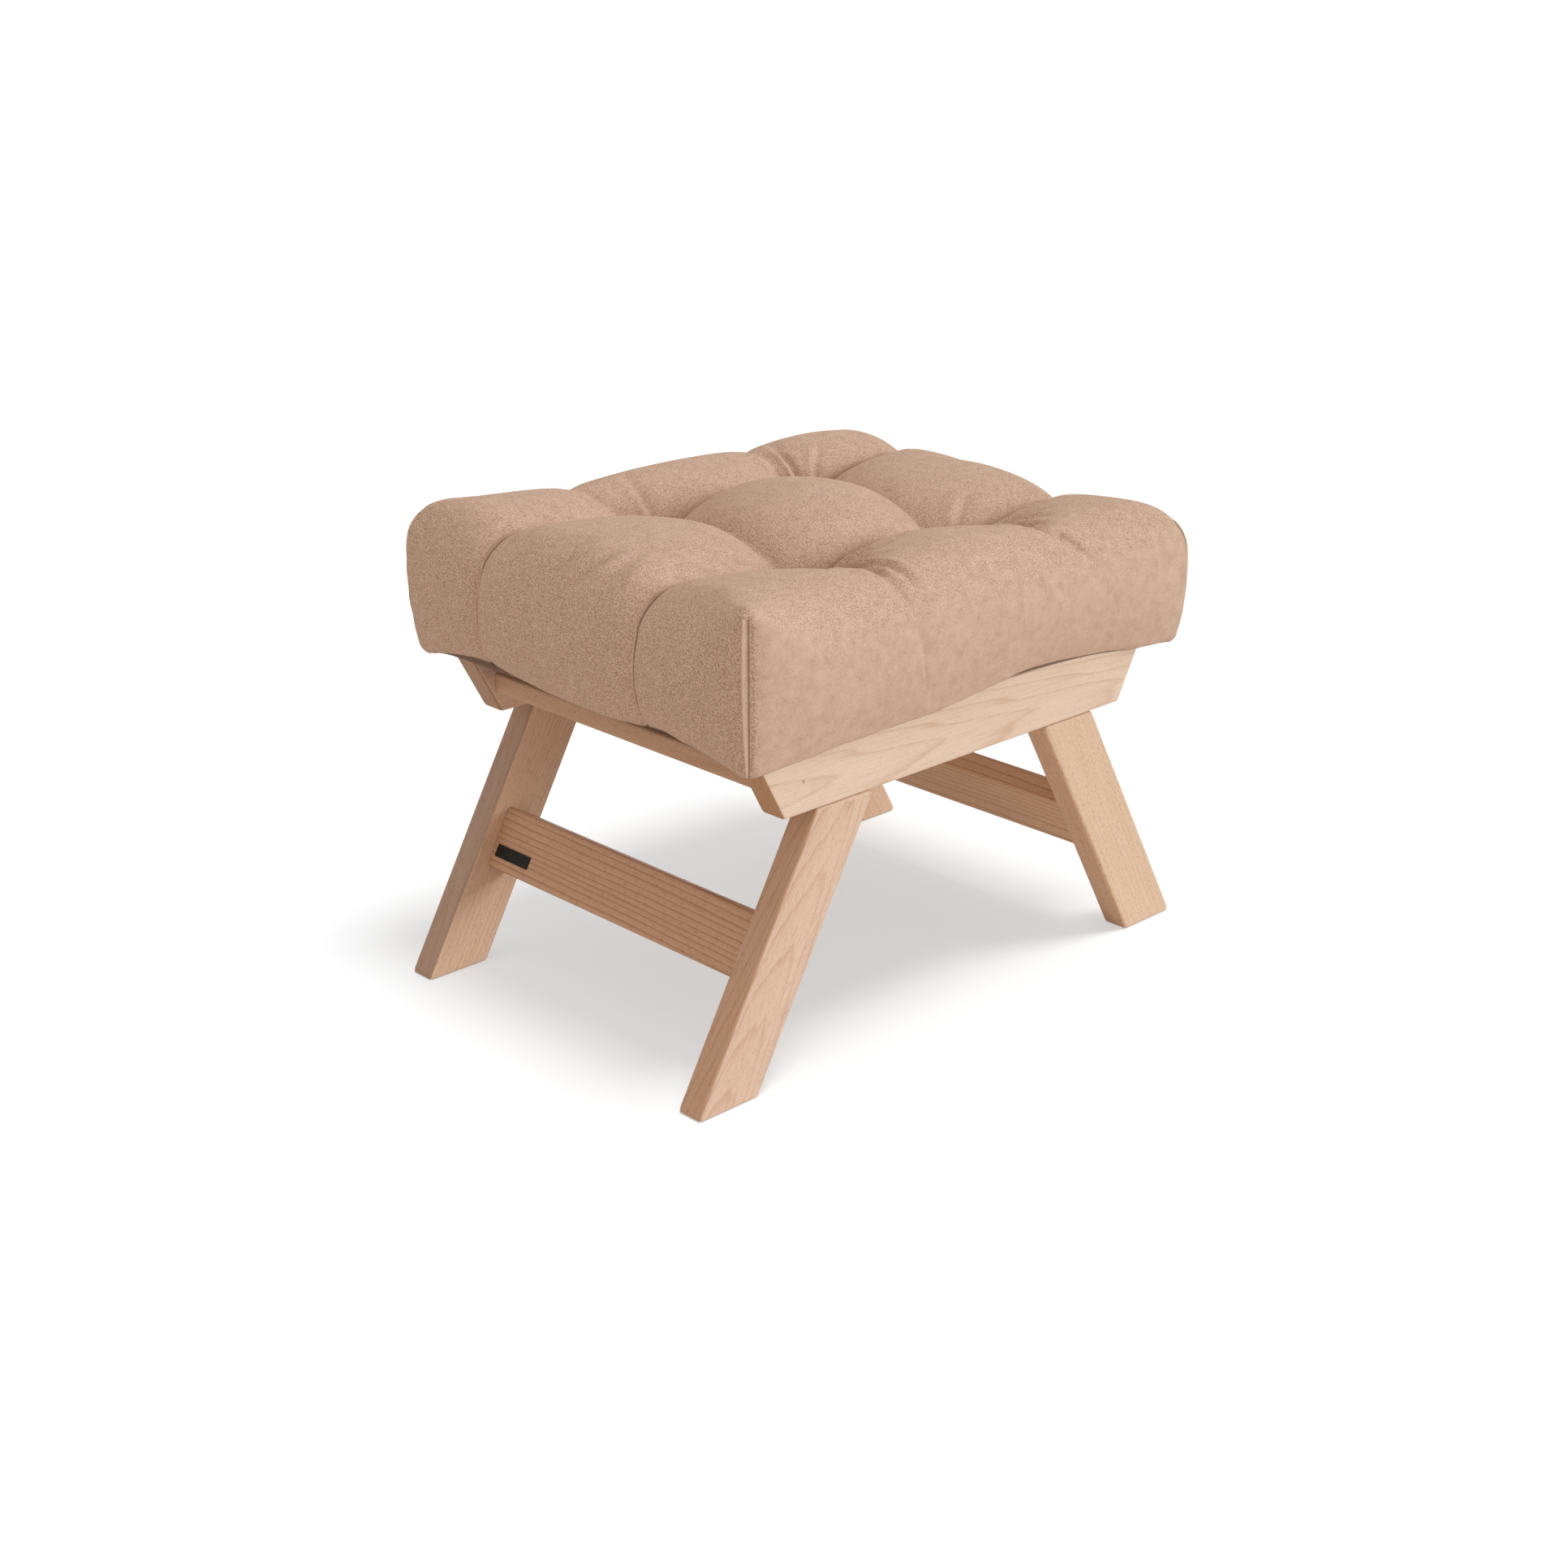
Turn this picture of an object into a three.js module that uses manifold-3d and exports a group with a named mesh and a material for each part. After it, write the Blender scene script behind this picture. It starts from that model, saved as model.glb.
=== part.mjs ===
// Tufted footstool: a loose boxed cushion on a splayed-leg beech frame.
// Millimetres, +Z up. X runs along the two side rails, Y from the near rail to the far one.
// The origin is on the floor, under the middle of the frame.

import * as THREE from 'three';
import Module from 'manifold-3d';
import { mergeVertices } from 'three/addons/utils/BufferGeometryUtils.js';

const wasm = await Module();
wasm.setup();

const degrees = Math.PI / 180;

// Beech stock
const boardWidth = 55;
const boardThickness = 25;
const slatThickness = 18;
const edgeRadius = 2.5;
const cornerShare = 1.4; // radius of a board's outline corners, as a share of its eased edges

// Frame
const frameWidth = 374; // over the outer faces of the side rails
const railHeight = 225; // floor to the underside of the rails
const railLength = 400; // along the underside; the ends lean out above it
const railEndAngle = 28.5 * degrees;
const legSplay = 29.5 * degrees;
const legSetback = 35; // rail's lower corner to the leg's outer edge
const stretcherHeight = 107.5; // floor to the middle of the stretchers
const slatCount = 5;
const slatEndInset = 4; // end slat back from the rail's leaning end

// Dowels
const dowelRadius = 4;
const slatDowelRadius = 3;
const dowelClearance = 0.3;
const dowelEndClearance = 1;
const legDowelSpacing = 28;
const legDowelDepth = 20;
const stretcherDowelSpacing = 30;
const slatDowelSpacing = 30;
const crossDowelDepth = 15; // into the side of a 25 mm board
const endGrainDepth = 25; // into the end of a stretcher or slat

// Gap left between two pieces that touch
const seatGap = 0.3;

// Cushion
const cushionLength = 514;
const cushionSideOverhang = 17; // cushion past the outer face of each rail
const cushionShift = 9; // the loose cushion lies this far towards +X
const cushionSideShift = 3.5; // and this far towards +Y
const cushionSkew = 4; // its far left and near right corners are pulled out this far
const cushionShoulderHeight = 120; // rail tops to the top of the rolled shoulder
const shoulderRadius = 44;
const cornerReach = 50; // the shoulder changes over this length towards each corner
// roll of the shoulder at the left and right corners, near pair first, as shares of its radius
const cornerRollShares = [[0.2, 0.73], [0.86, 1.14]];
const cornerRadius = 12; // at the shoulder, in plan
const hemCornerRadius = 6;
const sideBulge = 9;
const hemTuck = 5; // the hem is drawn in under the sides
const hemDroop = 8; // the hem hangs this far below the rail tops
const hemPull = 5; // seams lift the hem
const clothThickness = 2;
const fillGap = 1.6; // filling to the inside of the cover
const crestRise = 14; // the highest puff above the shoulder
// height of the nine puffs as shares of that rise, near row first, each from left to right
const crestShares = [[0.07, 0.21, -0.07], [0.65, 1, 0.57], [1, 0.7, 0.65]];
const edgeFall = 6; // the top falls this far towards its edges

// Tufting: two sewn seams along X, two soft creases along Y, a blind tuft at each crossing
const tuftHalfLength = 92;
const tuftHalfWidth = 93;
const tuftShift = 9; // the tufts lie this far towards +X in the cushion
const tuftSideShift = 12.5; // and this far towards +Y
const seamDepth = 36;
const creaseDepth = 30;
const foldReach = 13; // a valley is a sharp fold inside a rounder one
const roundReach = 95;
const foldShare = 0.5; // the sharp fold's part of a valley's depth
const tuftDepth = 16;
const tuftReach = 24;
const seamSideDip = 6;
const creaseSideDip = 2;
const twineRadius = 1;
const knotRadius = 3;
const undersideDimple = 12;

// Underside of the cushion
const sagMargin = 10; // the sag starts this far inside the rails
const sagRamp = 42;
const restMargin = 1.2; // the flat rest reaches this far past a rail
const hemStep = 1.2;
const hemClearance = 0.5; // underside to the inside of the hem

// Derived places
const halfWidth = frameWidth / 2;
const railInner = halfWidth - boardThickness;
const railTop = railHeight + boardWidth;
const railLean = boardWidth * Math.tan(railEndAngle);
const railTopHalf = railLength / 2 + railLean;
const railMiddleY = halfWidth - boardThickness / 2;
const legHorizontal = boardWidth / Math.cos(legSplay);
const legHeight = railHeight - seatGap;
const legRun = legHeight * Math.tan(legSplay);
const legTopX = railLength / 2 - legSetback - legHorizontal / 2;
const slatUnderside = railHeight + (boardWidth - slatThickness) / 2;
const slatTop = slatUnderside + slatThickness;
const slatOuterX =
  railLength / 2 + (slatUnderside - railHeight) * Math.tan(railEndAngle) - slatEndInset;
const slatPitch = (2 * slatOuterX - boardWidth) / (slatCount - 1);
const crossLength = 2 * (railInner - seatGap);

const beech = { color: '#d8b795', roughness: 0.55, metalness: 0 };
const dowelBeech = { color: '#c9a57c', roughness: 0.7, metalness: 0 };
const suede = { color: '#bfa188', roughness: 0.95, metalness: 0 };
const lining = { color: '#a89179', roughness: 0.95, metalness: 0 };
const fibre = { color: '#f1eee6', roughness: 1, metalness: 0 };
const twine = { color: '#d9cbb2', roughness: 0.9, metalness: 0 };

const model = new THREE.Group();
model.name = 'footstool';

function place(name, geometry, finish, x, y, z) {
  const mesh = new THREE.Mesh(geometry, new THREE.MeshStandardMaterial(finish));
  mesh.name = name;
  mesh.position.set(x, y, z);
  model.add(mesh);
  return mesh;
}

// Joining and cutting

function solidOf(geometry) {
  const bare = geometry.clone();
  bare.deleteAttribute('normal');
  bare.deleteAttribute('uv');
  const merged = mergeVertices(bare, 1e-4);
  return new wasm.Manifold(new wasm.Mesh({
    numProp: 3,
    vertProperties: new Float32Array(merged.attributes.position.array),
    triVerts: new Uint32Array(merged.index.array),
  }));
}

function geometryOf(solid) {
  const { vertProperties, triVerts, numProp } = solid.getMesh();
  const points = new Float32Array((vertProperties.length / numProp) * 3);
  for (let i = 0; i < points.length / 3; i += 1) {
    points.set(vertProperties.subarray(i * numProp, i * numProp + 3), i * 3);
  }
  const geometry = new THREE.BufferGeometry();
  geometry.setAttribute('position', new THREE.BufferAttribute(points, 3));
  geometry.setIndex(Array.from(triVerts));
  geometry.computeVertexNormals();
  return geometry;
}

function cut(geometry, cutters) {
  const solid = cutters.reduce((rest, cutter) => rest.subtract(solidOf(cutter)), solidOf(geometry));
  return geometryOf(solid);
}

// Boards

// A closed outline whose corners are eased
function easedOutline(points, radius) {
  const outline = new THREE.Shape();
  points.forEach(([x, y], i) => {
    const corner = new THREE.Vector2(x, y);
    const before = new THREE.Vector2(...points[(i + points.length - 1) % points.length]);
    const after = new THREE.Vector2(...points[(i + 1) % points.length]);
    before.sub(corner);
    after.sub(corner);
    const reach = radius / Math.tan(before.angleTo(after) / 2);
    const from = before.setLength(reach).add(corner);
    const to = after.setLength(reach).add(corner);
    if (i === 0) outline.moveTo(from.x, from.y);
    else outline.lineTo(from.x, from.y);
    outline.quadraticCurveTo(corner.x, corner.y, to.x, to.y);
  });
  return outline;
}

// A board sawn to a profile in X and Z, eased all round, its thickness centred on Y
function sawnBoard(points, thickness) {
  const easing = Math.min(edgeRadius, thickness / 3);
  const geometry = new THREE.ExtrudeGeometry(easedOutline(points, easing * cornerShare), {
    depth: thickness - 2 * easing,
    bevelThickness: easing,
    bevelSize: easing,
    bevelOffset: -easing,
    bevelSegments: 3,
    curveSegments: 2,
  });
  geometry.translate(0, 0, -(thickness / 2 - easing));
  geometry.rotateX(Math.PI / 2);
  return geometry;
}

// A straight bar along Y with eased long edges, centred on the origin
function easedBar(width, height, length) {
  const easing = Math.min(edgeRadius, height / 3);
  const outline = easedOutline([
    [-width / 2, -height / 2],
    [width / 2, -height / 2],
    [width / 2, height / 2],
    [-width / 2, height / 2],
  ], easing * cornerShare);
  const geometry = new THREE.ExtrudeGeometry(outline, {
    depth: length,
    bevelEnabled: false,
    curveSegments: 3,
  });
  geometry.translate(0, 0, -length / 2);
  geometry.rotateX(Math.PI / 2);
  return geometry;
}

// A round rod or hole along Y, or along Z when upright, centred on a point
function rod(radius, length, [x, y, z], upright = false) {
  const geometry = new THREE.CylinderGeometry(radius, radius, length, 12);
  if (upright) geometry.rotateX(Math.PI / 2);
  geometry.translate(x, y, z);
  return geometry;
}

// A blind hole for a dowel: its mouth at a point, running the given way
function dowelHole(radius, depth, [x, y, z], way) {
  const length = depth + dowelEndClearance + seatGap;
  const middle = (depth + dowelEndClearance - seatGap) / 2;
  const centre = way === 'up' ? [x, y, z + middle]
    : way === 'down' ? [x, y, z - middle]
    : [x, y + way * middle, z];
  return rod(radius + dowelClearance, length, centre, typeof way === 'string');
}

// Where each joint's two dowels go, in the profile plane of the boards (X, Z)
const legDowelLean = (legDowelDepth / 2) * Math.tan(legSplay);
const legDowelXs = [-1, 1].map(
  (side) => -(legTopX + legDowelLean) + (side * legDowelSpacing) / 2,
);
const stretcherX = legTopX + (railHeight - stretcherHeight) * Math.tan(legSplay);
const stretcherDowels = [-1, 1].map((side) => [
  -stretcherX + ((side * stretcherDowelSpacing) / 2) * Math.sin(legSplay),
  stretcherHeight + ((side * stretcherDowelSpacing) / 2) * Math.cos(legSplay),
]);
const slatXs = Array.from({ length: slatCount }, (_, i) => (i - (slatCount - 1) / 2) * slatPitch);
const slatMiddle = slatUnderside + slatThickness / 2;

const sides = [['near', -1], ['far', 1]];
const ends = [['left', -1], ['right', 1]];

// Side rails: two trapezoid boards, drilled for the legs below and the slats inside
for (const [side, sideSign] of sides) {
  const profile = [
    [-railLength / 2, 0],
    [railLength / 2, 0],
    [railTopHalf, boardWidth],
    [-railTopHalf, boardWidth],
  ];
  const holes = [];
  for (const [, endSign] of ends) {
    for (const x of legDowelXs) {
      holes.push(dowelHole(dowelRadius, legDowelDepth, [-endSign * x, 0, 0], 'up'));
    }
  }
  for (const slatX of slatXs) {
    for (const step of [-1, 1]) {
      const mouth = [
        slatX + (step * slatDowelSpacing) / 2,
        (-sideSign * boardThickness) / 2,
        slatMiddle - railHeight,
      ];
      holes.push(dowelHole(slatDowelRadius, crossDowelDepth, mouth, sideSign));
    }
  }
  const rail = cut(sawnBoard(profile, boardThickness), holes);
  place(`side_rail_${side}`, rail, beech, 0, sideSign * railMiddleY, railHeight);
}

// Legs: parallelogram boards butted under the rails, flat on the floor
for (const [side, sideSign] of sides) {
  for (const [end, endSign] of ends) {
    const out = (x, z) => [endSign * x, z];
    const profile = [
      out(legTopX - legHorizontal / 2 + legRun, 0),
      out(legTopX + legHorizontal / 2 + legRun, 0),
      out(legTopX + legHorizontal / 2, legHeight),
      out(legTopX - legHorizontal / 2, legHeight),
    ];
    if (endSign < 0) profile.reverse();
    const holes = legDowelXs.map(
      (x) => dowelHole(dowelRadius, legDowelDepth, [-endSign * x, 0, legHeight], 'down'),
    );
    for (const [x, z] of stretcherDowels) {
      const mouth = [-endSign * x, (-sideSign * boardThickness) / 2, z];
      holes.push(dowelHole(dowelRadius, crossDowelDepth, mouth, sideSign));
    }
    const leg = cut(sawnBoard(profile, boardThickness), holes);
    place(`leg_${side}_${end}`, leg, beech, 0, sideSign * railMiddleY, 0);

    legDowelXs.forEach((x, i) => {
      const length = 2 * legDowelDepth;
      const dowel = rod(dowelRadius, length, [0, 0, 0], true);
      place(`leg_dowel_${side}_${end}_${i + 1}`, dowel, dowelBeech,
        -endSign * x, sideSign * railMiddleY, railHeight - seatGap / 2);
    });
  }
}

// Stretchers: one board between each pair of legs, turned to lie in the plane of the legs
for (const [end, endSign] of ends) {
  const holes = [];
  for (const step of [-1, 1]) {
    for (const [, sideSign] of sides) {
      const mouth = [0, (sideSign * crossLength) / 2, (step * stretcherDowelSpacing) / 2];
      holes.push(dowelHole(dowelRadius, endGrainDepth, mouth, -sideSign));
    }
  }
  const bar = cut(easedBar(boardThickness, boardWidth, crossLength), holes);
  const stretcher = place(`stretcher_${end}`, bar, beech, endSign * stretcherX, 0, stretcherHeight);
  stretcher.rotation.y = -endSign * legSplay;

  for (const [side, sideSign] of sides) {
    stretcherDowels.forEach(([x, z], i) => {
      const length = crossDowelDepth + endGrainDepth;
      const dowel = rod(dowelRadius, length, [0, 0, 0]);
      const middle = railInner + (crossDowelDepth - endGrainDepth) / 2;
      place(`stretcher_dowel_${end}_${side}_${i + 1}`, dowel, dowelBeech,
        -endSign * x, sideSign * middle, z);
    });
  }
}

// Slats: laid flat between the rails, level with the middle of their height
slatXs.forEach((slatX, index) => {
  const holes = [];
  for (const [, sideSign] of sides) {
    for (const step of [-1, 1]) {
      const mouth = [(step * slatDowelSpacing) / 2, (sideSign * crossLength) / 2, 0];
      holes.push(dowelHole(slatDowelRadius, endGrainDepth, mouth, -sideSign));
    }
  }
  const slat = cut(easedBar(boardWidth, slatThickness, crossLength), holes);
  place(`slat_${index + 1}`, slat, beech, slatX, 0, slatMiddle);

  for (const [side, sideSign] of sides) {
    [-1, 1].forEach((step, i) => {
      const length = crossDowelDepth + endGrainDepth;
      const dowel = rod(slatDowelRadius, length, [0, 0, 0]);
      const middle = railInner + (crossDowelDepth - endGrainDepth) / 2;
      place(`slat_dowel_${index + 1}_${side}_${i + 1}`, dowel, dowelBeech,
        slatX + (step * slatDowelSpacing) / 2, sideSign * middle, slatMiddle);
    });
  }
});

// Cushion

// The cover is drawn on a net of stations: a square grid over the top whose edge rows roll over
// the shoulder, then rings down the sides to the hem. Every second station makes the coarse net.
const cushionHalfLength = cushionLength / 2;
const cushionHalfWidth = halfWidth + cushionSideOverhang;
const cellShares = [0, 0.27, 0.55, 0.82, 1]; // from the middle to a tuft line
const flatShares = [0.1, 0.24, 0.42, 0.62, 0.82, 1]; // from a tuft line to the shoulder
const topRolls = [22.5 * degrees, 45 * degrees];
const ringRolls = [45 * degrees, 67.5 * degrees, 90 * degrees];
const sideShares = [0.3, 0.58, 0.82, 1]; // from the shoulder's foot down to the hem
const ringCount = ringRolls.length + sideShares.length;

const outwardStations = [
  ...cellShares.map((cell) => ({ cell, flat: 0, roll: 0, side: 1 })),
  ...flatShares.map((flat) => ({ cell: 1, flat, roll: 0, side: 1 })),
  ...topRolls.map((roll) => ({ cell: 1, flat: 1, roll, side: 1 })),
];
const stations = [
  ...outwardStations.slice(1).reverse().map((station) => ({ ...station, side: -1 })),
  ...outwardStations,
];
const last = stations.length - 1;
const alongX = { half: cushionHalfLength, tuftHalf: tuftHalfLength, shift: tuftShift };
const alongY = { half: cushionHalfWidth, tuftHalf: tuftHalfWidth, shift: tuftSideShift };

// Where a station lies along X or Y, if the shoulder there has this reach and radius
function placeOf({ cell, flat, roll, side }, { tuftHalf, shift }, half, radius) {
  const tuft = shift + side * cell * tuftHalf;
  return tuft + side * (flat * (half - radius - side * tuft) + radius * Math.sin(roll));
}

const nominalX = stations.map(
  (station) => placeOf(station, alongX, cushionHalfLength, shoulderRadius),
);
const nominalY = stations.map(
  (station) => placeOf(station, alongY, cushionHalfWidth, shoulderRadius),
);
const seamIndexes = [last / 2 - (cellShares.length - 1), last / 2 + (cellShares.length - 1)];

const fall = (distance, reach) => Math.exp(-Math.abs(distance) / reach);
const mix = (from, to, share) => from + (to - from) * share;
const clampShare = (share) => Math.min(1, Math.max(0, share));
const seamEdgeShare = 0.33; // of a seam's depth, where it reaches the shoulder
const creaseEdgeShare = 0.2;
const betweenTuftsShare = 0.85; // of a valley's depth, halfway between two tufts
const hemShare = 0.5; // of a seam's side dip, left at the hem

// How far a place lies outside the tuft lines, and as a share of the way on to the edge
function pastTufts(at, { half, tuftHalf, shift }) {
  const side = at < shift ? -1 : 1;
  const past = side * (at - shift) - tuftHalf;
  return { past, share: clampShare(past / (half - side * shift - tuftHalf)) };
}

// Depth of a valley beside its line, as a share
function valley(distance) {
  const round = clampShare(1 - Math.abs(distance) / roundReach) ** 2;
  return mix(round, fall(distance, foldReach), foldShare);
}

// How deep a valley runs beside or between its two tufts, as a share
function alongValley({ past, share }, tuftHalf, edgeShare) {
  return past < 0 ? mix(1, betweenTuftsShare, -past / tuftHalf) : mix(1, edgeShare, share);
}

// How far the cover is drawn in by seams, creases and tufts at a point of the top
function topDip(x, y) {
  const overX = pastTufts(x, alongX);
  const overY = pastTufts(y, alongY);
  return seamDepth * alongValley(overX, tuftHalfLength, seamEdgeShare) * valley(overY.past)
    + creaseDepth * alongValley(overY, tuftHalfWidth, creaseEdgeShare) * valley(overX.past)
    + tuftDepth * fall(Math.hypot(overX.past, overY.past), tuftReach);
}

// A smooth run through the values at the middles of three puffs, level beyond them
function throughPuffs(at, { half, tuftHalf, shift }, values) {
  const middles = [(shift - tuftHalf - half) / 2, shift, (shift + tuftHalf + half) / 2];
  const step = (from) => THREE.MathUtils.smoothstep(at, middles[from], middles[from + 1]);
  return values[0] + (values[1] - values[0]) * step(0) + (values[2] - values[1]) * step(1);
}

const shoulderTop = railTop + cushionShoulderHeight;
const rollInset = shoulderRadius * (1 - Math.sin(topRolls[1]));
const rollEdgeX = cushionHalfLength - rollInset;
const rollEdgeY = cushionHalfWidth - rollInset;

// Height of the top before it is drawn in
function heightAt(x, y) {
  const puffs = throughPuffs(y, alongY, crestShares.map((row) => throughPuffs(x, alongX, row)));
  const levelX = 1 - clampShare(Math.abs(x) / cushionHalfLength) ** 4;
  const levelY = 1 - clampShare(Math.abs(y) / cushionHalfWidth) ** 4;
  return shoulderTop + crestRise * puffs - edgeFall * (1 - levelX * levelY);
}

// The shoulder's roll, which changes towards each corner
function rollRadius(i, j, fromCorner) {
  const share = cornerRollShares[j < last / 2 ? 0 : 1][i < last / 2 ? 0 : 1];
  const away = 1 - Math.exp(-((fromCorner / cornerReach) ** 2));
  return shoulderRadius * mix(share, 1, away);
}

// How far the cushion reaches at a station, and the radius of its shoulder there
function reachAt(i, j) {
  const skewX = (stations[i].side * cushionSkew * nominalY[j]) / rollEdgeY;
  const skewY = (stations[j].side * cushionSkew * nominalX[i]) / rollEdgeX;
  return {
    reachX: cushionHalfLength - skewX,
    reachY: cushionHalfWidth - skewY,
    radiusX: rollRadius(i, j, rollEdgeY - Math.abs(nominalY[j])),
    radiusY: rollRadius(i, j, rollEdgeX - Math.abs(nominalX[i])),
  };
}

function placeOnTop(i, j) {
  const { reachX, reachY, radiusX, radiusY } = reachAt(i, j);
  return [placeOf(stations[i], alongX, reachX, radiusX), placeOf(stations[j], alongY, reachY, radiusY)];
}

function topPoint(i, j) {
  const [x, y] = placeOnTop(i, j);
  const { radiusX, radiusY } = reachAt(i, j);
  const rollX = stations[i].side * stations[i].roll;
  const rollY = stations[j].side * stations[j].roll;
  const dropX = radiusX * (1 - Math.cos(rollX));
  const dropY = radiusY * (1 - Math.cos(rollY));
  const drop = Math.cbrt(dropX ** 3 + dropY ** 3);
  const outward = new THREE.Vector3(Math.sin(rollX), Math.sin(rollY), 1).normalize();
  return new THREE.Vector3(x, y, heightAt(x, y) - drop).addScaledVector(outward, -topDip(x, y));
}

// Stations of the underside and the hem, from the middle out. The underside rests on the rails,
// sags between them onto the slats and meets the hem.
const swellStartShare = 0.15; // of the swell's wave, spent at the shoulder's foot
const hemInset = hemTuck + clothThickness + hemClearance;

function restStations(toward) {
  const tuft = tuftShift + toward * tuftHalfLength;
  const restX = Math.min(railTopHalf + restMargin - toward * cushionShift,
    cushionHalfLength - cushionSkew - hemInset - hemShare * seamSideDip - hemStep);
  const sagX = slatOuterX - sagMargin - toward * cushionShift;
  return [mix(tuftShift, tuft, cellShares[2]), tuft, (tuft + toward * sagX) / 2,
    toward * sagX, toward * restX, toward * cushionHalfLength];
}

function restStationsAcross(toward) {
  const tuft = tuftSideShift + toward * tuftHalfWidth;
  const restY = Math.min(halfWidth + restMargin - toward * cushionSideShift,
    cushionHalfWidth - cushionSkew - hemInset - hemStep);
  const sagY = railInner - sagMargin - toward * cushionSideShift;
  const sagStart = Math.max(sagY - sagRamp, (toward * tuft + sagY) / 2);
  return [mix(tuftSideShift, tuft, cellShares[2]), tuft, toward * sagStart, toward * sagY,
    toward * restY, toward * cushionHalfWidth];
}
const restX = [...restStations(-1).reverse(), tuftShift, ...restStations(1)];
const restY = [...restStationsAcross(-1).reverse(), tuftSideShift, ...restStationsAcross(1)];

// Where a fine station falls on the underside; odd ones lie between two coarse ones
function undersideAt(index, rests) {
  return mix(rests[Math.floor(index / 2)], rests[Math.ceil(index / 2)], (index / 2) % 1);
}

// Height of the hem. It droops only where it is clear of the rails.
function hemHeight(x, y) {
  const pastRail = Math.max(
    Math.abs(y + cushionSideShift) - halfWidth,
    Math.abs(x + cushionShift) - railTopHalf,
  );
  const clear = clampShare((pastRail - clothThickness - 2 * seatGap) / hemTuck);
  const pull = Math.abs(x) > Math.abs(y) * (cushionHalfLength / cushionHalfWidth)
    ? valley(pastTufts(y, alongY).past)
    : valley(pastTufts(x, alongX).past);
  return railTop + seatGap - clear * (hemDroop - hemPull * pull);
}

// Brings a point on a rectangle's edge onto the same rectangle with rounded corners
function roundCorner(x, y, halfX, halfY, radius) {
  const overX = Math.abs(x) - (halfX - radius);
  const overY = Math.abs(y) - (halfY - radius);
  if (overX <= 0 || overY <= 0) return [x, y];
  const pull = radius / Math.hypot(overX, overY);
  return [
    Math.sign(x) * (halfX - radius + overX * Math.min(1, pull)),
    Math.sign(y) * (halfY - radius + overY * Math.min(1, pull)),
  ];
}

// Moves a place outside the tufts as its ring's edge moves out from the top's edge
function spread(at, { tuftHalf, shift }, side, edge, moved) {
  const tuft = shift + side * tuftHalf;
  if (side * (at - tuft) <= 0) return at;
  return tuft + ((at - tuft) * (moved - tuft)) / (edge - tuft);
}

// A point on ring number ring, below the edge station (i, j) of the top
function sidePoint(i, j, ring) {
  if (ring === 0) return topPoint(i, j);
  const onX = i === 0 || i === last;
  const onY = j === 0 || j === last;
  const { side: sideX } = stations[i];
  const { side: sideY } = stations[j];
  const roll = ringRolls[Math.min(ring, ringRolls.length - 1)];
  const share = ring < ringRolls.length ? 0 : sideShares[ring - ringRolls.length];

  // The corners at this end of both sides, where the ring turns
  const here = reachAt(i, j);
  const cornerI = sideX < 0 ? 0 : last;
  const cornerJ = sideY < 0 ? 0 : last;
  const flank = reachAt(onX ? i : cornerI, onY ? j : cornerJ);
  const radius = onX ? here.radiusX : here.radiusY;
  const halfX = onX ? here.reachX - radius * (1 - Math.sin(roll))
    : flank.reachX - flank.radiusX * (1 - Math.sin(roll));
  const halfY = onY ? here.reachY - radius * (1 - Math.sin(roll))
    : flank.reachY - flank.radiusY * (1 - Math.sin(roll));
  const [topX, topY] = placeOnTop(i, j);
  const lean = share ** 2;
  const acrossX = onX ? sideX * halfX
    : mix(spread(topX, alongX, sideX, placeOnTop(cornerI, j)[0], sideX * halfX),
      undersideAt(i, restX), lean);
  const acrossY = onY ? sideY * halfY
    : mix(spread(topY, alongY, sideY, placeOnTop(i, cornerJ)[1], sideY * halfY),
      undersideAt(j, restY), lean);
  const planRadius = mix(cornerRadius, hemCornerRadius, share);
  const [x, y] = roundCorner(acrossX, acrossY, halfX, halfY, planRadius);

  // Swell between the shoulder and the hem, less the dips at seams and creases
  const swell = sideBulge * Math.sin(Math.PI * mix(swellStartShare, 1, share));
  const tuck = hemTuck * share ** 3;
  const ontoSide = clampShare(ring / (ringRolls.length - 1));
  const seamDip = valley(pastTufts(topY, alongY).past)
    * mix(seamDepth * seamEdgeShare, seamSideDip, ontoSide) * mix(1, hemShare, share);
  const creaseDip = valley(pastTufts(topX, alongX).past)
    * mix(creaseDepth * creaseEdgeShare, creaseSideDip, ontoSide) * (1 - share);
  const outX = onX ? sideX : 0;
  const outY = onY ? sideY : 0;
  const outward = new THREE.Vector3(
    outX * Math.sin(roll), outY * Math.sin(roll), Math.cos(roll),
  ).normalize();
  const dip = (onX ? seamDip : 0) + (onY ? creaseDip : 0);
  const push = swell * Math.sin(roll) ** 4 - tuck - dip;

  const shoulder = heightAt(onX ? sideX * here.reachX : x, onY ? sideY * here.reachY : y);
  const height = ring < ringRolls.length
    ? shoulder - radius * (1 - Math.cos(roll))
    : mix(shoulder - radius, hemHeight(x, y), share);
  return new THREE.Vector3(x, y, height).addScaledVector(outward, push);
}

// The cover's net. A point is named by its stations and its ring, the top being ring 0.
const isEdge = (i, j) => i === 0 || i === last || j === 0 || j === last;
const key = (i, j, ring) => `${i},${j},${ring}`;

// Stations round the edge of the top, anticlockwise from the near left corner
function edgeStations(step) {
  const edge = [];
  for (let i = 0; i < last; i += step) edge.push([i, 0]);
  for (let j = 0; j < last; j += step) edge.push([last, j]);
  for (let i = last; i > 0; i -= step) edge.push([i, last]);
  for (let j = last; j > 0; j -= step) edge.push([0, j]);
  return edge;
}

function topQuads(step) {
  const quads = [];
  for (let j = 0; j < last; j += step) {
    for (let i = 0; i < last; i += step) {
      quads.push([[i, j, 0], [i + step, j, 0], [i + step, j + step, 0], [i, j + step, 0]]);
    }
  }
  return quads;
}

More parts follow.
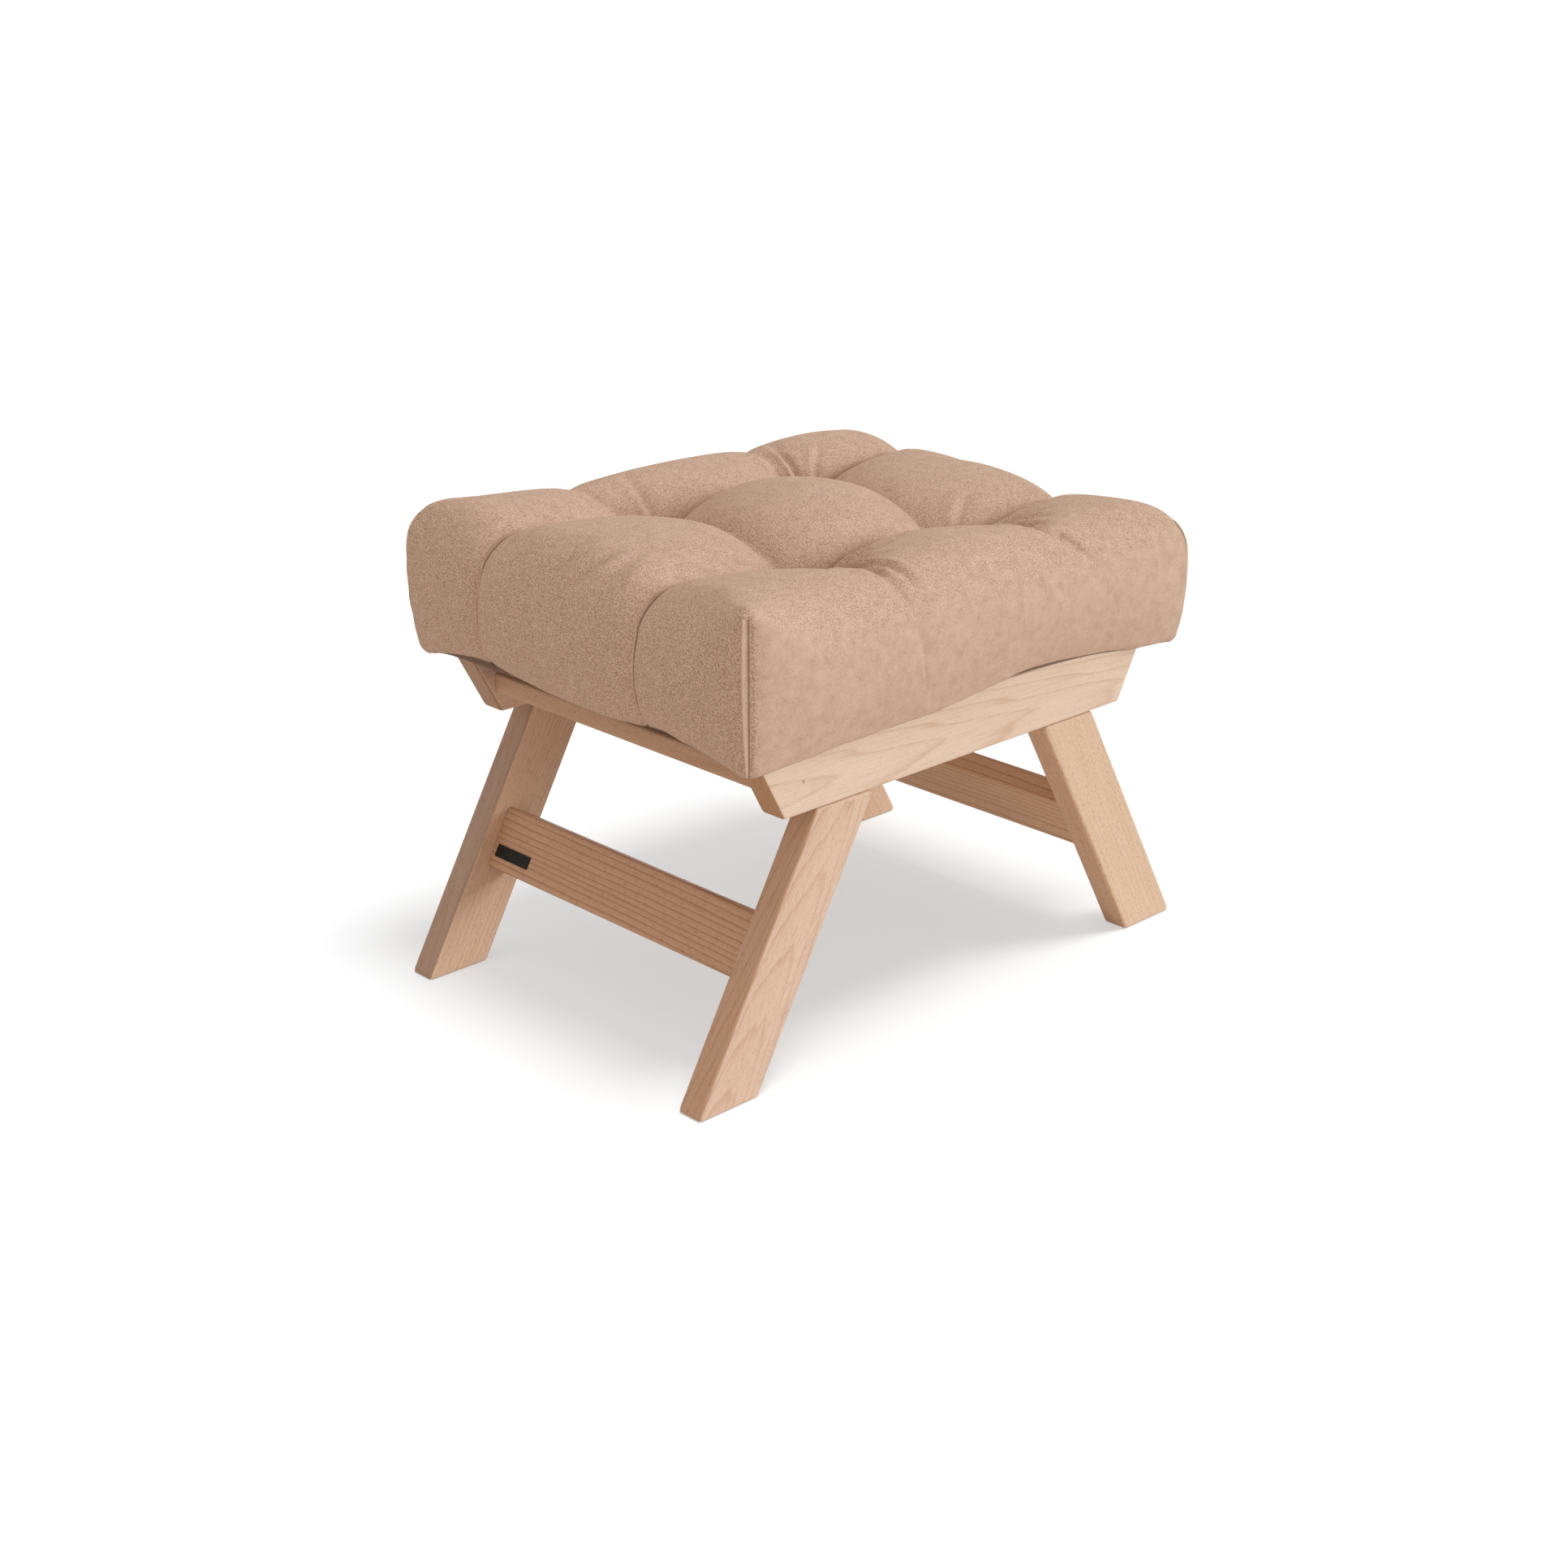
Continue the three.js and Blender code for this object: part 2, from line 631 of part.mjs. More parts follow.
function sideQuads(step) {
  const edge = edgeStations(step);
  const quads = [];
  for (let ring = 0; ring < ringCount - 1; ring += step) {
    edge.forEach(([i, j], index) => {
      const [nextI, nextJ] = edge[(index + 1) % edge.length];
      quads.push([
        [i, j, ring + step], [nextI, nextJ, ring + step], [nextI, nextJ, ring], [i, j, ring],
      ]);
    });
  }
  return quads;
}

const coverPoints = new Map();
for (let j = 0; j <= last; j += 1) {
  for (let i = 0; i <= last; i += 1) {
    coverPoints.set(key(i, j, 0), topPoint(i, j));
    for (let ring = 1; isEdge(i, j) && ring < ringCount; ring += 1) {
      coverPoints.set(key(i, j, ring), sidePoint(i, j, ring));
    }
  }
}

// The hem runs straight between the coarse stations
const hemRing = ringCount - 1;
edgeStations(1).forEach(([i, j], index, edge) => {
  if (index % 2 === 0) return;
  const [before, after] = [edge[index - 1], edge[(index + 1) % edge.length]]
    .map(([nearI, nearJ]) => coverPoints.get(key(nearI, nearJ, hemRing)));
  coverPoints.set(key(i, j, hemRing), before.clone().add(after).multiplyScalar(1 / 2));
});

// Directions out of the cover, from the faces round each point
const coverOutward = new Map();
for (const quad of [...topQuads(1), ...sideQuads(1)]) {
  const [a, b, c, d] = quad.map((corner) => coverPoints.get(key(...corner)));
  const facing = c.clone().sub(a).cross(d.clone().sub(b)).normalize();
  for (const corner of quad) {
    const name = key(...corner);
    coverOutward.set(name, (coverOutward.get(name) ?? new THREE.Vector3()).add(facing));
  }
}
for (const [name, outward] of coverOutward) {
  const [i, j, ring] = name.split(',').map(Number);
  const onSeam = seamIndexes.includes(j);
  if (onSeam) outward.y = 0;
  if (onSeam && seamIndexes.includes(i)) outward.set(0, 0, 1);
  if (ring === hemRing) outward.z = 0;
  outward.normalize();
}

// A point of the cover moved straight in by a depth
function coverPoint(corner, depth) {
  const name = key(...corner);
  return coverPoints.get(name).clone().addScaledVector(coverOutward.get(name), -depth);
}

// The same quad facing the other way, folded on the same diagonal
function turnedOver([a, b, c, d]) {
  return [a, d, c, b];
}

// A closed body from quads of named corners
function bodyFrom(quads, pointOf) {
  const indexOf = new Map();
  const points = [];
  const triangles = [];
  for (const quad of quads) {
    const [a, b, c, d] = quad.map((corner) => {
      const name = corner.join();
      if (!indexOf.has(name)) {
        indexOf.set(name, indexOf.size);
        points.push(...pointOf(corner).toArray());
      }
      return indexOf.get(name);
    });
    triangles.push(a, b, c, a, c, d);
  }
  const geometry = new THREE.BufferGeometry();
  geometry.setAttribute('position', new THREE.Float32BufferAttribute(points, 3));
  geometry.setIndex(triangles);
  geometry.computeVertexNormals();
  return geometry;
}

// A sheet of cloth: quads on its outer face, the same quads inside, and its cut edges
function clothFrom(quads, outerPoint, innerPoint) {
  const edges = new Map();
  for (const quad of quads) {
    quad.forEach((corner, index) => {
      const next = quad[(index + 1) % quad.length];
      edges.set(`${corner.join()}>${next.join()}`, [corner, next]);
    });
  }
  const cloth = [];
  for (const quad of quads) {
    cloth.push(quad.map((corner) => [...corner, 'outer']));
    cloth.push(turnedOver(quad.map((corner) => [...corner, 'inner'])));
  }
  for (const [corner, next] of edges.values()) {
    if (edges.has(`${next.join()}>${corner.join()}`)) continue;
    cloth.push([
      [...next, 'outer'], [...corner, 'outer'], [...corner, 'inner'], [...next, 'inner'],
    ]);
  }
  return bodyFrom(cloth, (corner) => {
    const station = corner.slice(0, -1);
    return corner.at(-1) === 'outer' ? outerPoint(station) : innerPoint(station);
  });
}

const cushion = new THREE.Group();
cushion.name = 'cushion';
cushion.position.set(cushionShift, cushionSideShift, 0);
model.add(cushion);

function placeInCushion(name, geometry, finish) {
  cushion.add(place(name, geometry, finish, 0, 0, 0));
}

// Cover: three panels sewn along the seams, each running over the top and down both ends
const panels = [
  ['near', 0, seamIndexes[0]],
  ['middle', seamIndexes[0], seamIndexes[1]],
  ['far', seamIndexes[1], last],
];
for (const [name, from, to] of panels) {
  const within = ([, j]) => j >= from && j <= to;
  const quads = [...topQuads(1), ...sideQuads(1)].filter((quad) => quad.every(within));
  const inPanel = (corner, depth) => {
    const point = coverPoint(corner, depth);
    if (corner[1] === from && from > 0) point.y += seatGap / 2;
    if (corner[1] === to && to < last) point.y -= seatGap / 2;
    return point;
  };
  const panel = clothFrom(quads,
    (corner) => inPanel(corner, 0), (corner) => inPanel(corner, clothThickness));
  placeInCushion(`cushion_cover_${name}`, panel, suede);
}

// Underside: one lining panel inside the hem, drawn up at each tuft
function undersidePoint([i, j]) {
  if (isEdge(i, j)) return coverPoint([i, j, hemRing], clothThickness + hemClearance);
  const [farX, farY] = [i, j].map((index) => Math.abs(index - last / 2) / 2);
  const sags = farX <= 4 && farY <= 3;
  const dimple = farX === 2 && farY === 2 ? undersideDimple : 0;
  const hem = coverPoint([i < last / 2 ? 0 : last, j, hemRing], clothThickness);
  const overRails = farY >= 4 ? railTop + seatGap : Math.min(railTop + seatGap, hem.z);
  return new THREE.Vector3(
    undersideAt(i, restX),
    undersideAt(j, restY),
    sags ? slatTop + seatGap + dimple : overRails,
  );
}

const undersideQuads = topQuads(2).map(turnedOver);
const raised = (corner, rise) => {
  const point = undersidePoint(corner);
  point.z += rise;
  return point;
};
const tufts = [];
for (const i of seamIndexes) {
  for (const j of seamIndexes) tufts.push([i, j, 0]);
}

const tieHole = 4 * undersideDimple; // each hole's cutter, well past both faces
const underside = cut(
  clothFrom(undersideQuads, (corner) => raised(corner, 0), (corner) => raised(corner, clothThickness)),
  tufts.map((corner) => {
    const { x, y, z } = undersidePoint(corner);
    return rod(twineRadius + seatGap, tieHole, [x, y, z], true);
  }),
);
placeInCushion('cushion_cover_underside', underside, lining);

// Filling: one soft block inside the cover, with a shaft for each tie
const fillDepth = clothThickness + fillGap;
const fillingQuads = [
  ...topQuads(2),
  ...sideQuads(2),
  ...undersideQuads.map((quad) => quad.map(([i, j]) => (
    isEdge(i, j) ? [i, j, hemRing] : [i, j, 'under']
  ))),
];
const filling = bodyFrom(fillingQuads, (corner) => {
  if (corner[2] === 'under') return raised(corner, clothThickness + seatGap);
  const point = coverPoint(corner, fillDepth);
  if (corner[2] === hemRing) point.z = railTop + clothThickness + 2 * seatGap;
  return point;
});

const knotSeatShare = 1.4; // middle of a knot below the cloth, as a share of its clear radius
const knotWell = 6 * knotRadius; // length of the well over each upper knot
const ties = tufts.map((corner) => {
  const top = coverPoint(corner, clothThickness);
  const bottom = undersidePoint(corner);
  return {
    x: top.x,
    y: top.y,
    upperKnot: top.z - knotSeatShare * (knotRadius + seatGap),
    lowerKnot: bottom.z - knotSeatShare * (knotRadius + seatGap),
  };
});
const shafts = ties.flatMap(({ x, y, upperKnot, lowerKnot }) => {
  const length = upperKnot - lowerKnot;
  const wellFoot = upperKnot - knotRadius - seatGap;
  return [
    rod(twineRadius + seatGap, length, [x, y, (upperKnot + lowerKnot) / 2], true),
    rod(knotRadius + seatGap, knotWell, [x, y, wellFoot + knotWell / 2], true),
  ];
});
placeInCushion('cushion_filling', cut(filling, shafts), fibre);

// Ties: waxed twine pulling each tuft down, knotted above the filling and below the cover
ties.forEach(({ x, y, upperKnot, lowerKnot }, index) => {
  const length = upperKnot - lowerKnot;
  const strand = solidOf(rod(twineRadius, length, [x, y, (upperKnot + lowerKnot) / 2], true));
  const knots = [upperKnot, lowerKnot].map((z) => {
    const knot = new THREE.SphereGeometry(knotRadius, 10, 6);
    knot.translate(x, y, z);
    return solidOf(knot);
  });
  const tie = knots.reduce((rest, knot) => rest.add(knot), strand);
  placeInCushion(`tuft_tie_${index + 1}`, geometryOf(tie), twine);
});

export default model;
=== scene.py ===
# Tufted footstool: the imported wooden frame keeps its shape, the cushion is made here.
import math

import bmesh
import bpy
import numpy as np
from mathutils import Matrix, Vector


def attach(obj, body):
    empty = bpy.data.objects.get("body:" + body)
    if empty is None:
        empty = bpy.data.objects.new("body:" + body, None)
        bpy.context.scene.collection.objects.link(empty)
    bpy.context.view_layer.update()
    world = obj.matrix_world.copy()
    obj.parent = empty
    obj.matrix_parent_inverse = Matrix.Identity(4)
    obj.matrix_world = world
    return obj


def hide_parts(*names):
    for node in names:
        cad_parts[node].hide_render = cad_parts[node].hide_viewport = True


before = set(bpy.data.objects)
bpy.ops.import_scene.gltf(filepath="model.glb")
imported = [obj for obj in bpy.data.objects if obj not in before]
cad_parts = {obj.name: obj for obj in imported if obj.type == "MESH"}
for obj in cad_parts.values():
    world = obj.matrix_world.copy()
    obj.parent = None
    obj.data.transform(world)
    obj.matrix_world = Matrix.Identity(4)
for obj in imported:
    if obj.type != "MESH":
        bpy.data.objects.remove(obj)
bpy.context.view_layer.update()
print("frame loaded:", len(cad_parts), "nodes")

mm = 0.001

# Camera

photoView = {
    "azimuth": 43.755, "elevation": 20.923, "roll": 0.084,   # degrees
    "target": (-0.1011, -0.0832, 0.2), "distance": 1.92843, "lens": 54.237, "sensor": 36,
}


def placeCamera(view):
    turn = (Matrix.Rotation(math.radians(-view["azimuth"]), 3, "Z")
            @ Matrix.Rotation(math.radians(90 - view["elevation"]), 3, "X")
            @ Matrix.Rotation(math.radians(-view["roll"]), 3, "Z"))
    place = Vector(view["target"]) + turn @ Vector((0, 0, view["distance"]))
    bpy.ops.object.camera_add(location=place, rotation=turn.to_euler())
    camera = bpy.context.object
    camera.name = "photoCamera"
    camera.data.sensor_width = view["sensor"]
    camera.data.lens = view["lens"]
    bpy.context.scene.camera = camera


placeCamera(photoView)
bpy.context.scene.view_settings.view_transform = "Standard"
print("camera placed")

# Small helpers for shaping


def deselectAll():
    if bpy.context.object and bpy.context.object.mode != "OBJECT":
        bpy.ops.object.mode_set(mode="OBJECT")
    bpy.ops.object.select_all(action="DESELECT")


def pick(obj):
    deselectAll()
    obj.select_set(True)
    bpy.context.view_layer.objects.active = obj


def readVectors(elements, key):
    values = np.empty(len(elements) * 3)
    elements.foreach_get(key, values)
    return values.reshape(-1, 3)


def readPoints(obj):
    return readVectors(obj.data.vertices, "co")


def readNormals(obj):
    return readVectors(obj.data.vertex_normals, "vector")


def writePoints(obj, points):
    obj.data.vertices.foreach_set("co", np.ascontiguousarray(points, dtype=np.float32).ravel())
    obj.data.update()


def addAttribute(obj, name, values):
    attribute = obj.data.attributes.new(name, "FLOAT", "POINT")
    attribute.data.foreach_set("value", np.ascontiguousarray(values, dtype=np.float32))


def readAttribute(obj, name):
    values = np.empty(len(obj.data.vertices), dtype=np.float32)
    obj.data.attributes[name].data.foreach_get("value", values)
    return values.astype(float)


# Materials


class Shader:
    # short calls for the nodes of one material, or of the world
    def __init__(self, owner):
        owner.use_nodes = True
        self.owner = owner
        self.nodes = owner.node_tree.nodes
        self.links = owner.node_tree.links

    def feed(self, node, inputs):
        # links a socket to another node's output, or gives it a fixed value
        for key, value in inputs.items():
            if isinstance(value, bpy.types.NodeSocket):
                self.links.new(value, node.inputs[key])
            else:
                node.inputs[key].default_value = value

    def node(self, kind, inputs=None, **settings):
        made = self.nodes.new("ShaderNode" + kind)
        for key, value in settings.items():
            setattr(made, key, value)
        self.feed(made, inputs or {})
        return made

    def finish(self, sockets):
        # sets the sockets of the surface and gives the finished material
        self.feed(self.nodes["Principled BSDF"], sockets)
        return self.owner

    def math(self, operation, a, b=0.0, clamp=False):
        return self.node("Math", {0: a, 1: b}, operation=operation, use_clamp=clamp).outputs[0]

    def times(self, a, b):
        return self.math("MULTIPLY", a, b)

    def plus(self, first, *others):
        for other in others:
            first = self.math("ADD", first, other)
        return first

    def ramp(self, factor, places, colours):
        made = self.node("ValToRGB", {"Fac": factor})
        elements = made.color_ramp.elements
        while len(elements) < len(places):
            elements.new(0.5)
        for element, place, colour in zip(elements, places, colours):
            element.position = place
            element.color = (*colour, 1)
        return made.outputs["Color"]

    def ranged(self, value, low, high, toLow=0.0, toHigh=1.0):
        return self.node("MapRange", {"Value": value, "From Min": low, "From Max": high,
                                      "To Min": toLow, "To Max": toHigh}).outputs[0]

    def mix(self, factor, a, b, blend="MIX"):
        made = self.node("Mix", {0: factor}, data_type="RGBA", blend_type=blend)
        for index, colour in ((6, a), (7, b)):
            fixed = not isinstance(colour, bpy.types.NodeSocket)
            self.feed(made, {index: (*colour, 1) if fixed else colour})
        return made.outputs[2]

    def noise(self, vector, scale, detail=3.0, roughness=0.5):
        return self.node("TexNoise", {"Vector": vector, "Scale": scale, "Detail": detail,
                                      "Roughness": roughness}).outputs["Fac"]

    def streaks(self, vector, scale, detail, roughness=0.5):
        # noise that is drawn out by a scale of its own along each axis
        drawn = self.node("VectorMath", {0: vector, 1: scale}, operation="MULTIPLY").outputs[0]
        return self.noise(drawn, 1.0, detail, roughness)

    def bump(self, height, strength, depth):
        return self.node("Bump", {"Height": height, "Strength": strength,
                                  "Distance": depth}).outputs["Normal"]


def linear(r, g, b):
    # a 0-255 screen colour as the linear values that a socket takes
    def one(value):
        value /= 255
        return value / 12.92 if value <= 0.04045 else ((value + 0.055) / 1.055) ** 2.4
    return one(r), one(g), one(b)


def streakedMaterial(name, look):
    # a plain finish with fine streaks from one colour to another
    shader = Shader(bpy.data.materials.new(name))
    place = shader.node("TexCoord").outputs["Object"]
    streaks = shader.streaks(place, look["scale"], 2.0)
    colour = shader.ramp(streaks, look["places"], look["colours"])
    return shader.finish({"Base Color": colour, **look["surface"]})


# The boards: one beech look for all, and what differs from board to board, tints of painted light
# and shade among it

beechLook = {
    "colours": (linear(236, 210, 189), linear(223, 192, 168), linear(186, 146, 114)),
    "places": (0.15, 0.5, 1.0),  # light, middle and dark
    # how finely each pattern is drawn along the grain and across it
    "waverScale": (2.6, 11, 11), "gapScale": (0.8, 34, 34), "fibreScale": (20, 1100, 1100),
    "broadScale": (1.8, 26, 26), "poreScale": (240, 1700, 1700),
    "waver": 8 * mm, "gapSpread": 3.0,  # how far the rings stray and how unevenly
    "ringPlaces": (0.0, 0.68, 0.92, 1.0), "ringTones": (0.05, 0.25, 1.0, 0.05),
    "fibres": 0.64, "broad": 0.34,  # shares of the fine and the broad streaks
    "poreRange": (0.60, 0.70), "poreColour": linear(150, 108, 80),
    "knotCore": 0.5 * mm, "knotRadius": 1.9 * mm, "knotShare": 0.75,
    "knotColour": linear(150, 92, 60),
    "endRange": (0.3, 0.6),  # how squarely a face looks along X
    "roughness": (0.5, 0.66), "specular": 0.35, "bump": 0.25, "bumpDepth": 0.2 * mm,
}
plainBoard = {
    "turn": (0, 0, 0),                   # brings the board's length onto X
    "ringGap": 5.5 * mm, "rings": 0.2,   # how far apart and how strong the growth rings are
    "tone": -0.1, "pores": 0.4,          # how dark the board is and how strong its pores are
    "toneAndShade": (1, 1, 1),
}
quarter = math.pi / 2
legTurn = math.radians(29.5)
boards = {
    # pith is where the tree's middle lies beside the board, tilt how the board was sawn across
    # the trunk, ends the tint of the faces along X and the other tint that of the others; both
    # tints are partly the board's own tone, with the darker end grain on the rails' ends, and
    # partly painted light and shade, lighter or darker by how the faces lie to the light
    "side_rail_near": {
        "pith": (0.02, 0.245, -0.238), "tilt": (0.05, 0.045), "ringGap": 6 * mm, "rings": 0.24,
        "tone": -0.115, "pores": 0.2, "ends": (0.66, 0.50, 0.35), "toneAndShade": (0.98, 1.04, 1.08),
        "knot": (-0.1801, -0.187, 0.2515),
    },
    "side_rail_far": {
        "pith": (0.3, -0.225, -0.262), "tilt": (-0.04, 0.03), "tone": -0.06,
        "ends": (0.56, 0.44, 0.33),
    },
    "leg_near_left": {
        "turn": (0, quarter - legTurn, 0), "pith": (0.1, 0.222, -0.238), "tilt": (0.11, 0.03),
        "ringGap": 6 * mm, "rings": 0.28, "pores": 0.35,
        "ends": (0.79, 0.69, 0.61), "toneAndShade": (0.925, 0.92, 0.93),
    },
    "leg_near_right": {
        "turn": (0, legTurn - quarter, 0), "pith": (0.4, 0.26, 0.12), "tilt": (-0.03, 0.03),
        "rings": 0.14, "pores": 0.6, "ends": (1.03, 0.93, 0.81), "toneAndShade": (0.94, 0.95, 0.91),
    },
    "leg_far_left": {
        "turn": (0, quarter - legTurn, 0), "pith": (0.7, -0.2, -0.2), "tilt": (0.02, 0.03),
        "ringGap": 4 * mm, "ends": (0.59, 0.545, 0.515), "toneAndShade": (1.01, 0.97, 0.91),
    },
    "leg_far_right": {
        "turn": (0, legTurn - quarter, 0), "pith": (0.9, -0.21, 0.18), "tilt": (0.02, -0.04),
        "ends": (0.92, 0.82, 0.73), "toneAndShade": (0.92, 0.86, 0.80),
    },
    "stretcher_left": {
        "turn": (0, 0, quarter), "pith": (0.5, 0.25, 0.02), "tilt": (0.01, 0.012),
        "rings": 0.65, "tone": -0.18, "pores": 0.55,
        "ends": (0.83, 0.70, 0.585), "toneAndShade": (0.86, 0.74, 0.64),
    },
    "stretcher_right": {
        "turn": (0, 0, quarter), "pith": (0.2, -0.16, -0.02), "tilt": (0.008, 0.01),
        "ringGap": 5 * mm, "rings": 0.5, "tone": -0.16,
        "ends": (1.13, 1.02, 0.88), "toneAndShade": (0.92, 0.82, 0.72),
    },
}
# the five slats; their tints hold painted shade, as they lie under the cushion
for index in range(5):
    boards[f"slat_{index + 1}"] = {
        "turn": (0, 0, quarter), "pith": (0.15 * index, 0.03 * index, -0.2 - 0.01 * index),
        "tilt": (0.02, 0.03 - 0.01 * index),
        "ends": (0.75, 0.62, 0.51), "toneAndShade": (0.95, 0.88, 0.82),
    }


def beechMaterial(name, look, board):
    shader = Shader(bpy.data.materials.new(name))
    coordinates = shader.node("TexCoord").outputs
    place = coordinates["Object"]
    grain = shader.node("Mapping", {"Vector": place, "Rotation": board["turn"],
                                    "Location": board["pith"]}).outputs["Vector"]

    # growth rings round the pith, which stray a little and lie unevenly
    axes = shader.node("SeparateXYZ", {"Vector": grain}).outputs
    y = shader.plus(axes[1], shader.times(axes[0], board["tilt"][0]))
    z = shader.plus(axes[2], shader.times(axes[0], board["tilt"][1]))
    radius = shader.math("SQRT", shader.plus(shader.times(y, y), shader.times(z, z)))
    waver = shader.math("SUBTRACT", shader.streaks(grain, look["waverScale"], 2.0), 0.5)
    radius = shader.plus(radius, shader.times(waver, look["waver"]))
    gaps = shader.times(shader.streaks(grain, look["gapScale"], 2.0), look["gapSpread"])
    phase = shader.plus(shader.math("DIVIDE", radius, board["ringGap"]), gaps)
    rings = shader.ramp(shader.math("FRACT", phase), look["ringPlaces"],
                        [(tone,) * 3 for tone in look["ringTones"]])

    fibres = shader.streaks(grain, look["fibreScale"], 3.0, 0.65)
    broad = shader.streaks(grain, look["broadScale"], 2.0)
    factor = shader.plus(shader.times(rings, board["rings"]), shader.times(fibres, look["fibres"]),
                         shader.times(broad, look["broad"]))
    factor = shader.math("ADD", factor, board["tone"], clamp=True)
    colour = shader.ramp(factor, look["places"], look["colours"])

    # short dark pores along the grain
    pores = shader.ranged(shader.streaks(grain, look["poreScale"], 1.0), *look["poreRange"])
    pores = shader.times(pores, board["pores"])
    colour = shader.mix(pores, colour, look["poreColour"])
    if "knot" in board:
        away = shader.node("VectorMath", {0: place, 1: board["knot"]}, operation="DISTANCE")
        knot = shader.ranged(away.outputs["Value"], look["knotCore"], look["knotRadius"],
                             look["knotShare"], 0.0)
        colour = shader.mix(knot, colour, look["knotColour"])

    # painted light and shade: faces along X take one tint and the other faces another, each
    # lighter or darker by how the face lies to the light
    facing = shader.node("SeparateXYZ", {"Vector": coordinates["Normal"]}).outputs[0]
    xFacing = shader.ranged(shader.math("ABSOLUTE", facing), *look["endRange"])
    toneAndShade = shader.mix(xFacing, board["toneAndShade"], board["ends"])
    height = shader.math("SUBTRACT", shader.times(fibres, 0.5), pores)
    return shader.finish({"Base Color": shader.mix(1.0, colour, toneAndShade, "MULTIPLY"),
                          "Roughness": shader.ranged(fibres, 0.0, 1.0, *look["roughness"]),
                          "Specular IOR Level": look["specular"],
                          "Normal": shader.bump(height, look["bump"], look["bumpDepth"])})


def dress(node, material):
    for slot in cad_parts[node].material_slots:
        slot.material = material


for node, board in boards.items():
    dress(node, beechMaterial("beech_" + node, beechLook, {**plainBoard, **board}))
print("boards dressed:", len(boards))

# The hidden dowels and the ties of the tufts

dowelBeech = streakedMaterial("beech_dowel", {
    "scale": (700, 700, 700), "places": (0.3, 0.8),
    "colours": (linear(214, 180, 142), linear(186, 146, 108)), "surface": {"Roughness": 0.7},
})
waxedTwine = streakedMaterial("waxed_twine", {
    "scale": (900, 900, 300), "places": (0.3, 0.8),
    "colours": (linear(220, 206, 176), linear(190, 172, 138)), "surface": {"Roughness": 0.6},
})
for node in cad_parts:
    if "dowel" in node:
        dress(node, dowelBeech)
    if node.startswith("tuft_tie"):
        dress(node, waxedTwine)
print("dowels and ties dressed")

# A small blank metal tag on the outer face of the left stretcher

blackened = linear(34, 29, 25)
tag = {
    "size": (1.4 * mm, 44 * mm, 11 * mm), "centre": (-216.66 * mm, 134 * mm, 103.85 * mm),
    "tilt": legTurn, "edge": 0.3 * mm,
    "look": {
        "scale": (900, 90, 1500), "places": (0.3, 0.7),
        "colours": [[value * share for value in blackened] for share in (0.7, 1.3)],
        "surface": {"Metallic": 0.3, "Specular IOR Level": 0.2, "Roughness": 0.6},
    },
}


def makeTag(tag):
    deselectAll()
    bpy.ops.mesh.primitive_cube_add(size=1, location=tag["centre"], rotation=(0, tag["tilt"], 0),
                                    scale=tag["size"])
    made = bpy.context.object
    made.name = made.data.name = "blank_tag"
    bpy.ops.object.transform_apply(location=True, rotation=True, scale=True)
    bpy.ops.object.mode_set(mode="EDIT")
    bpy.ops.mesh.select_all(action="SELECT")
    bpy.ops.mesh.bevel(offset=tag["edge"], segments=2, affect="EDGES")
    bpy.ops.object.mode_set(mode="OBJECT")
    made.data.materials.append(streakedMaterial("blackened_metal", tag["look"]))
    return made


blankTag = makeTag(tag)
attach(blankTag, "root")
print("tag made")

# Cushion: laid out on a subdivided box, blown up by a cloth simulation, then sewn and folded

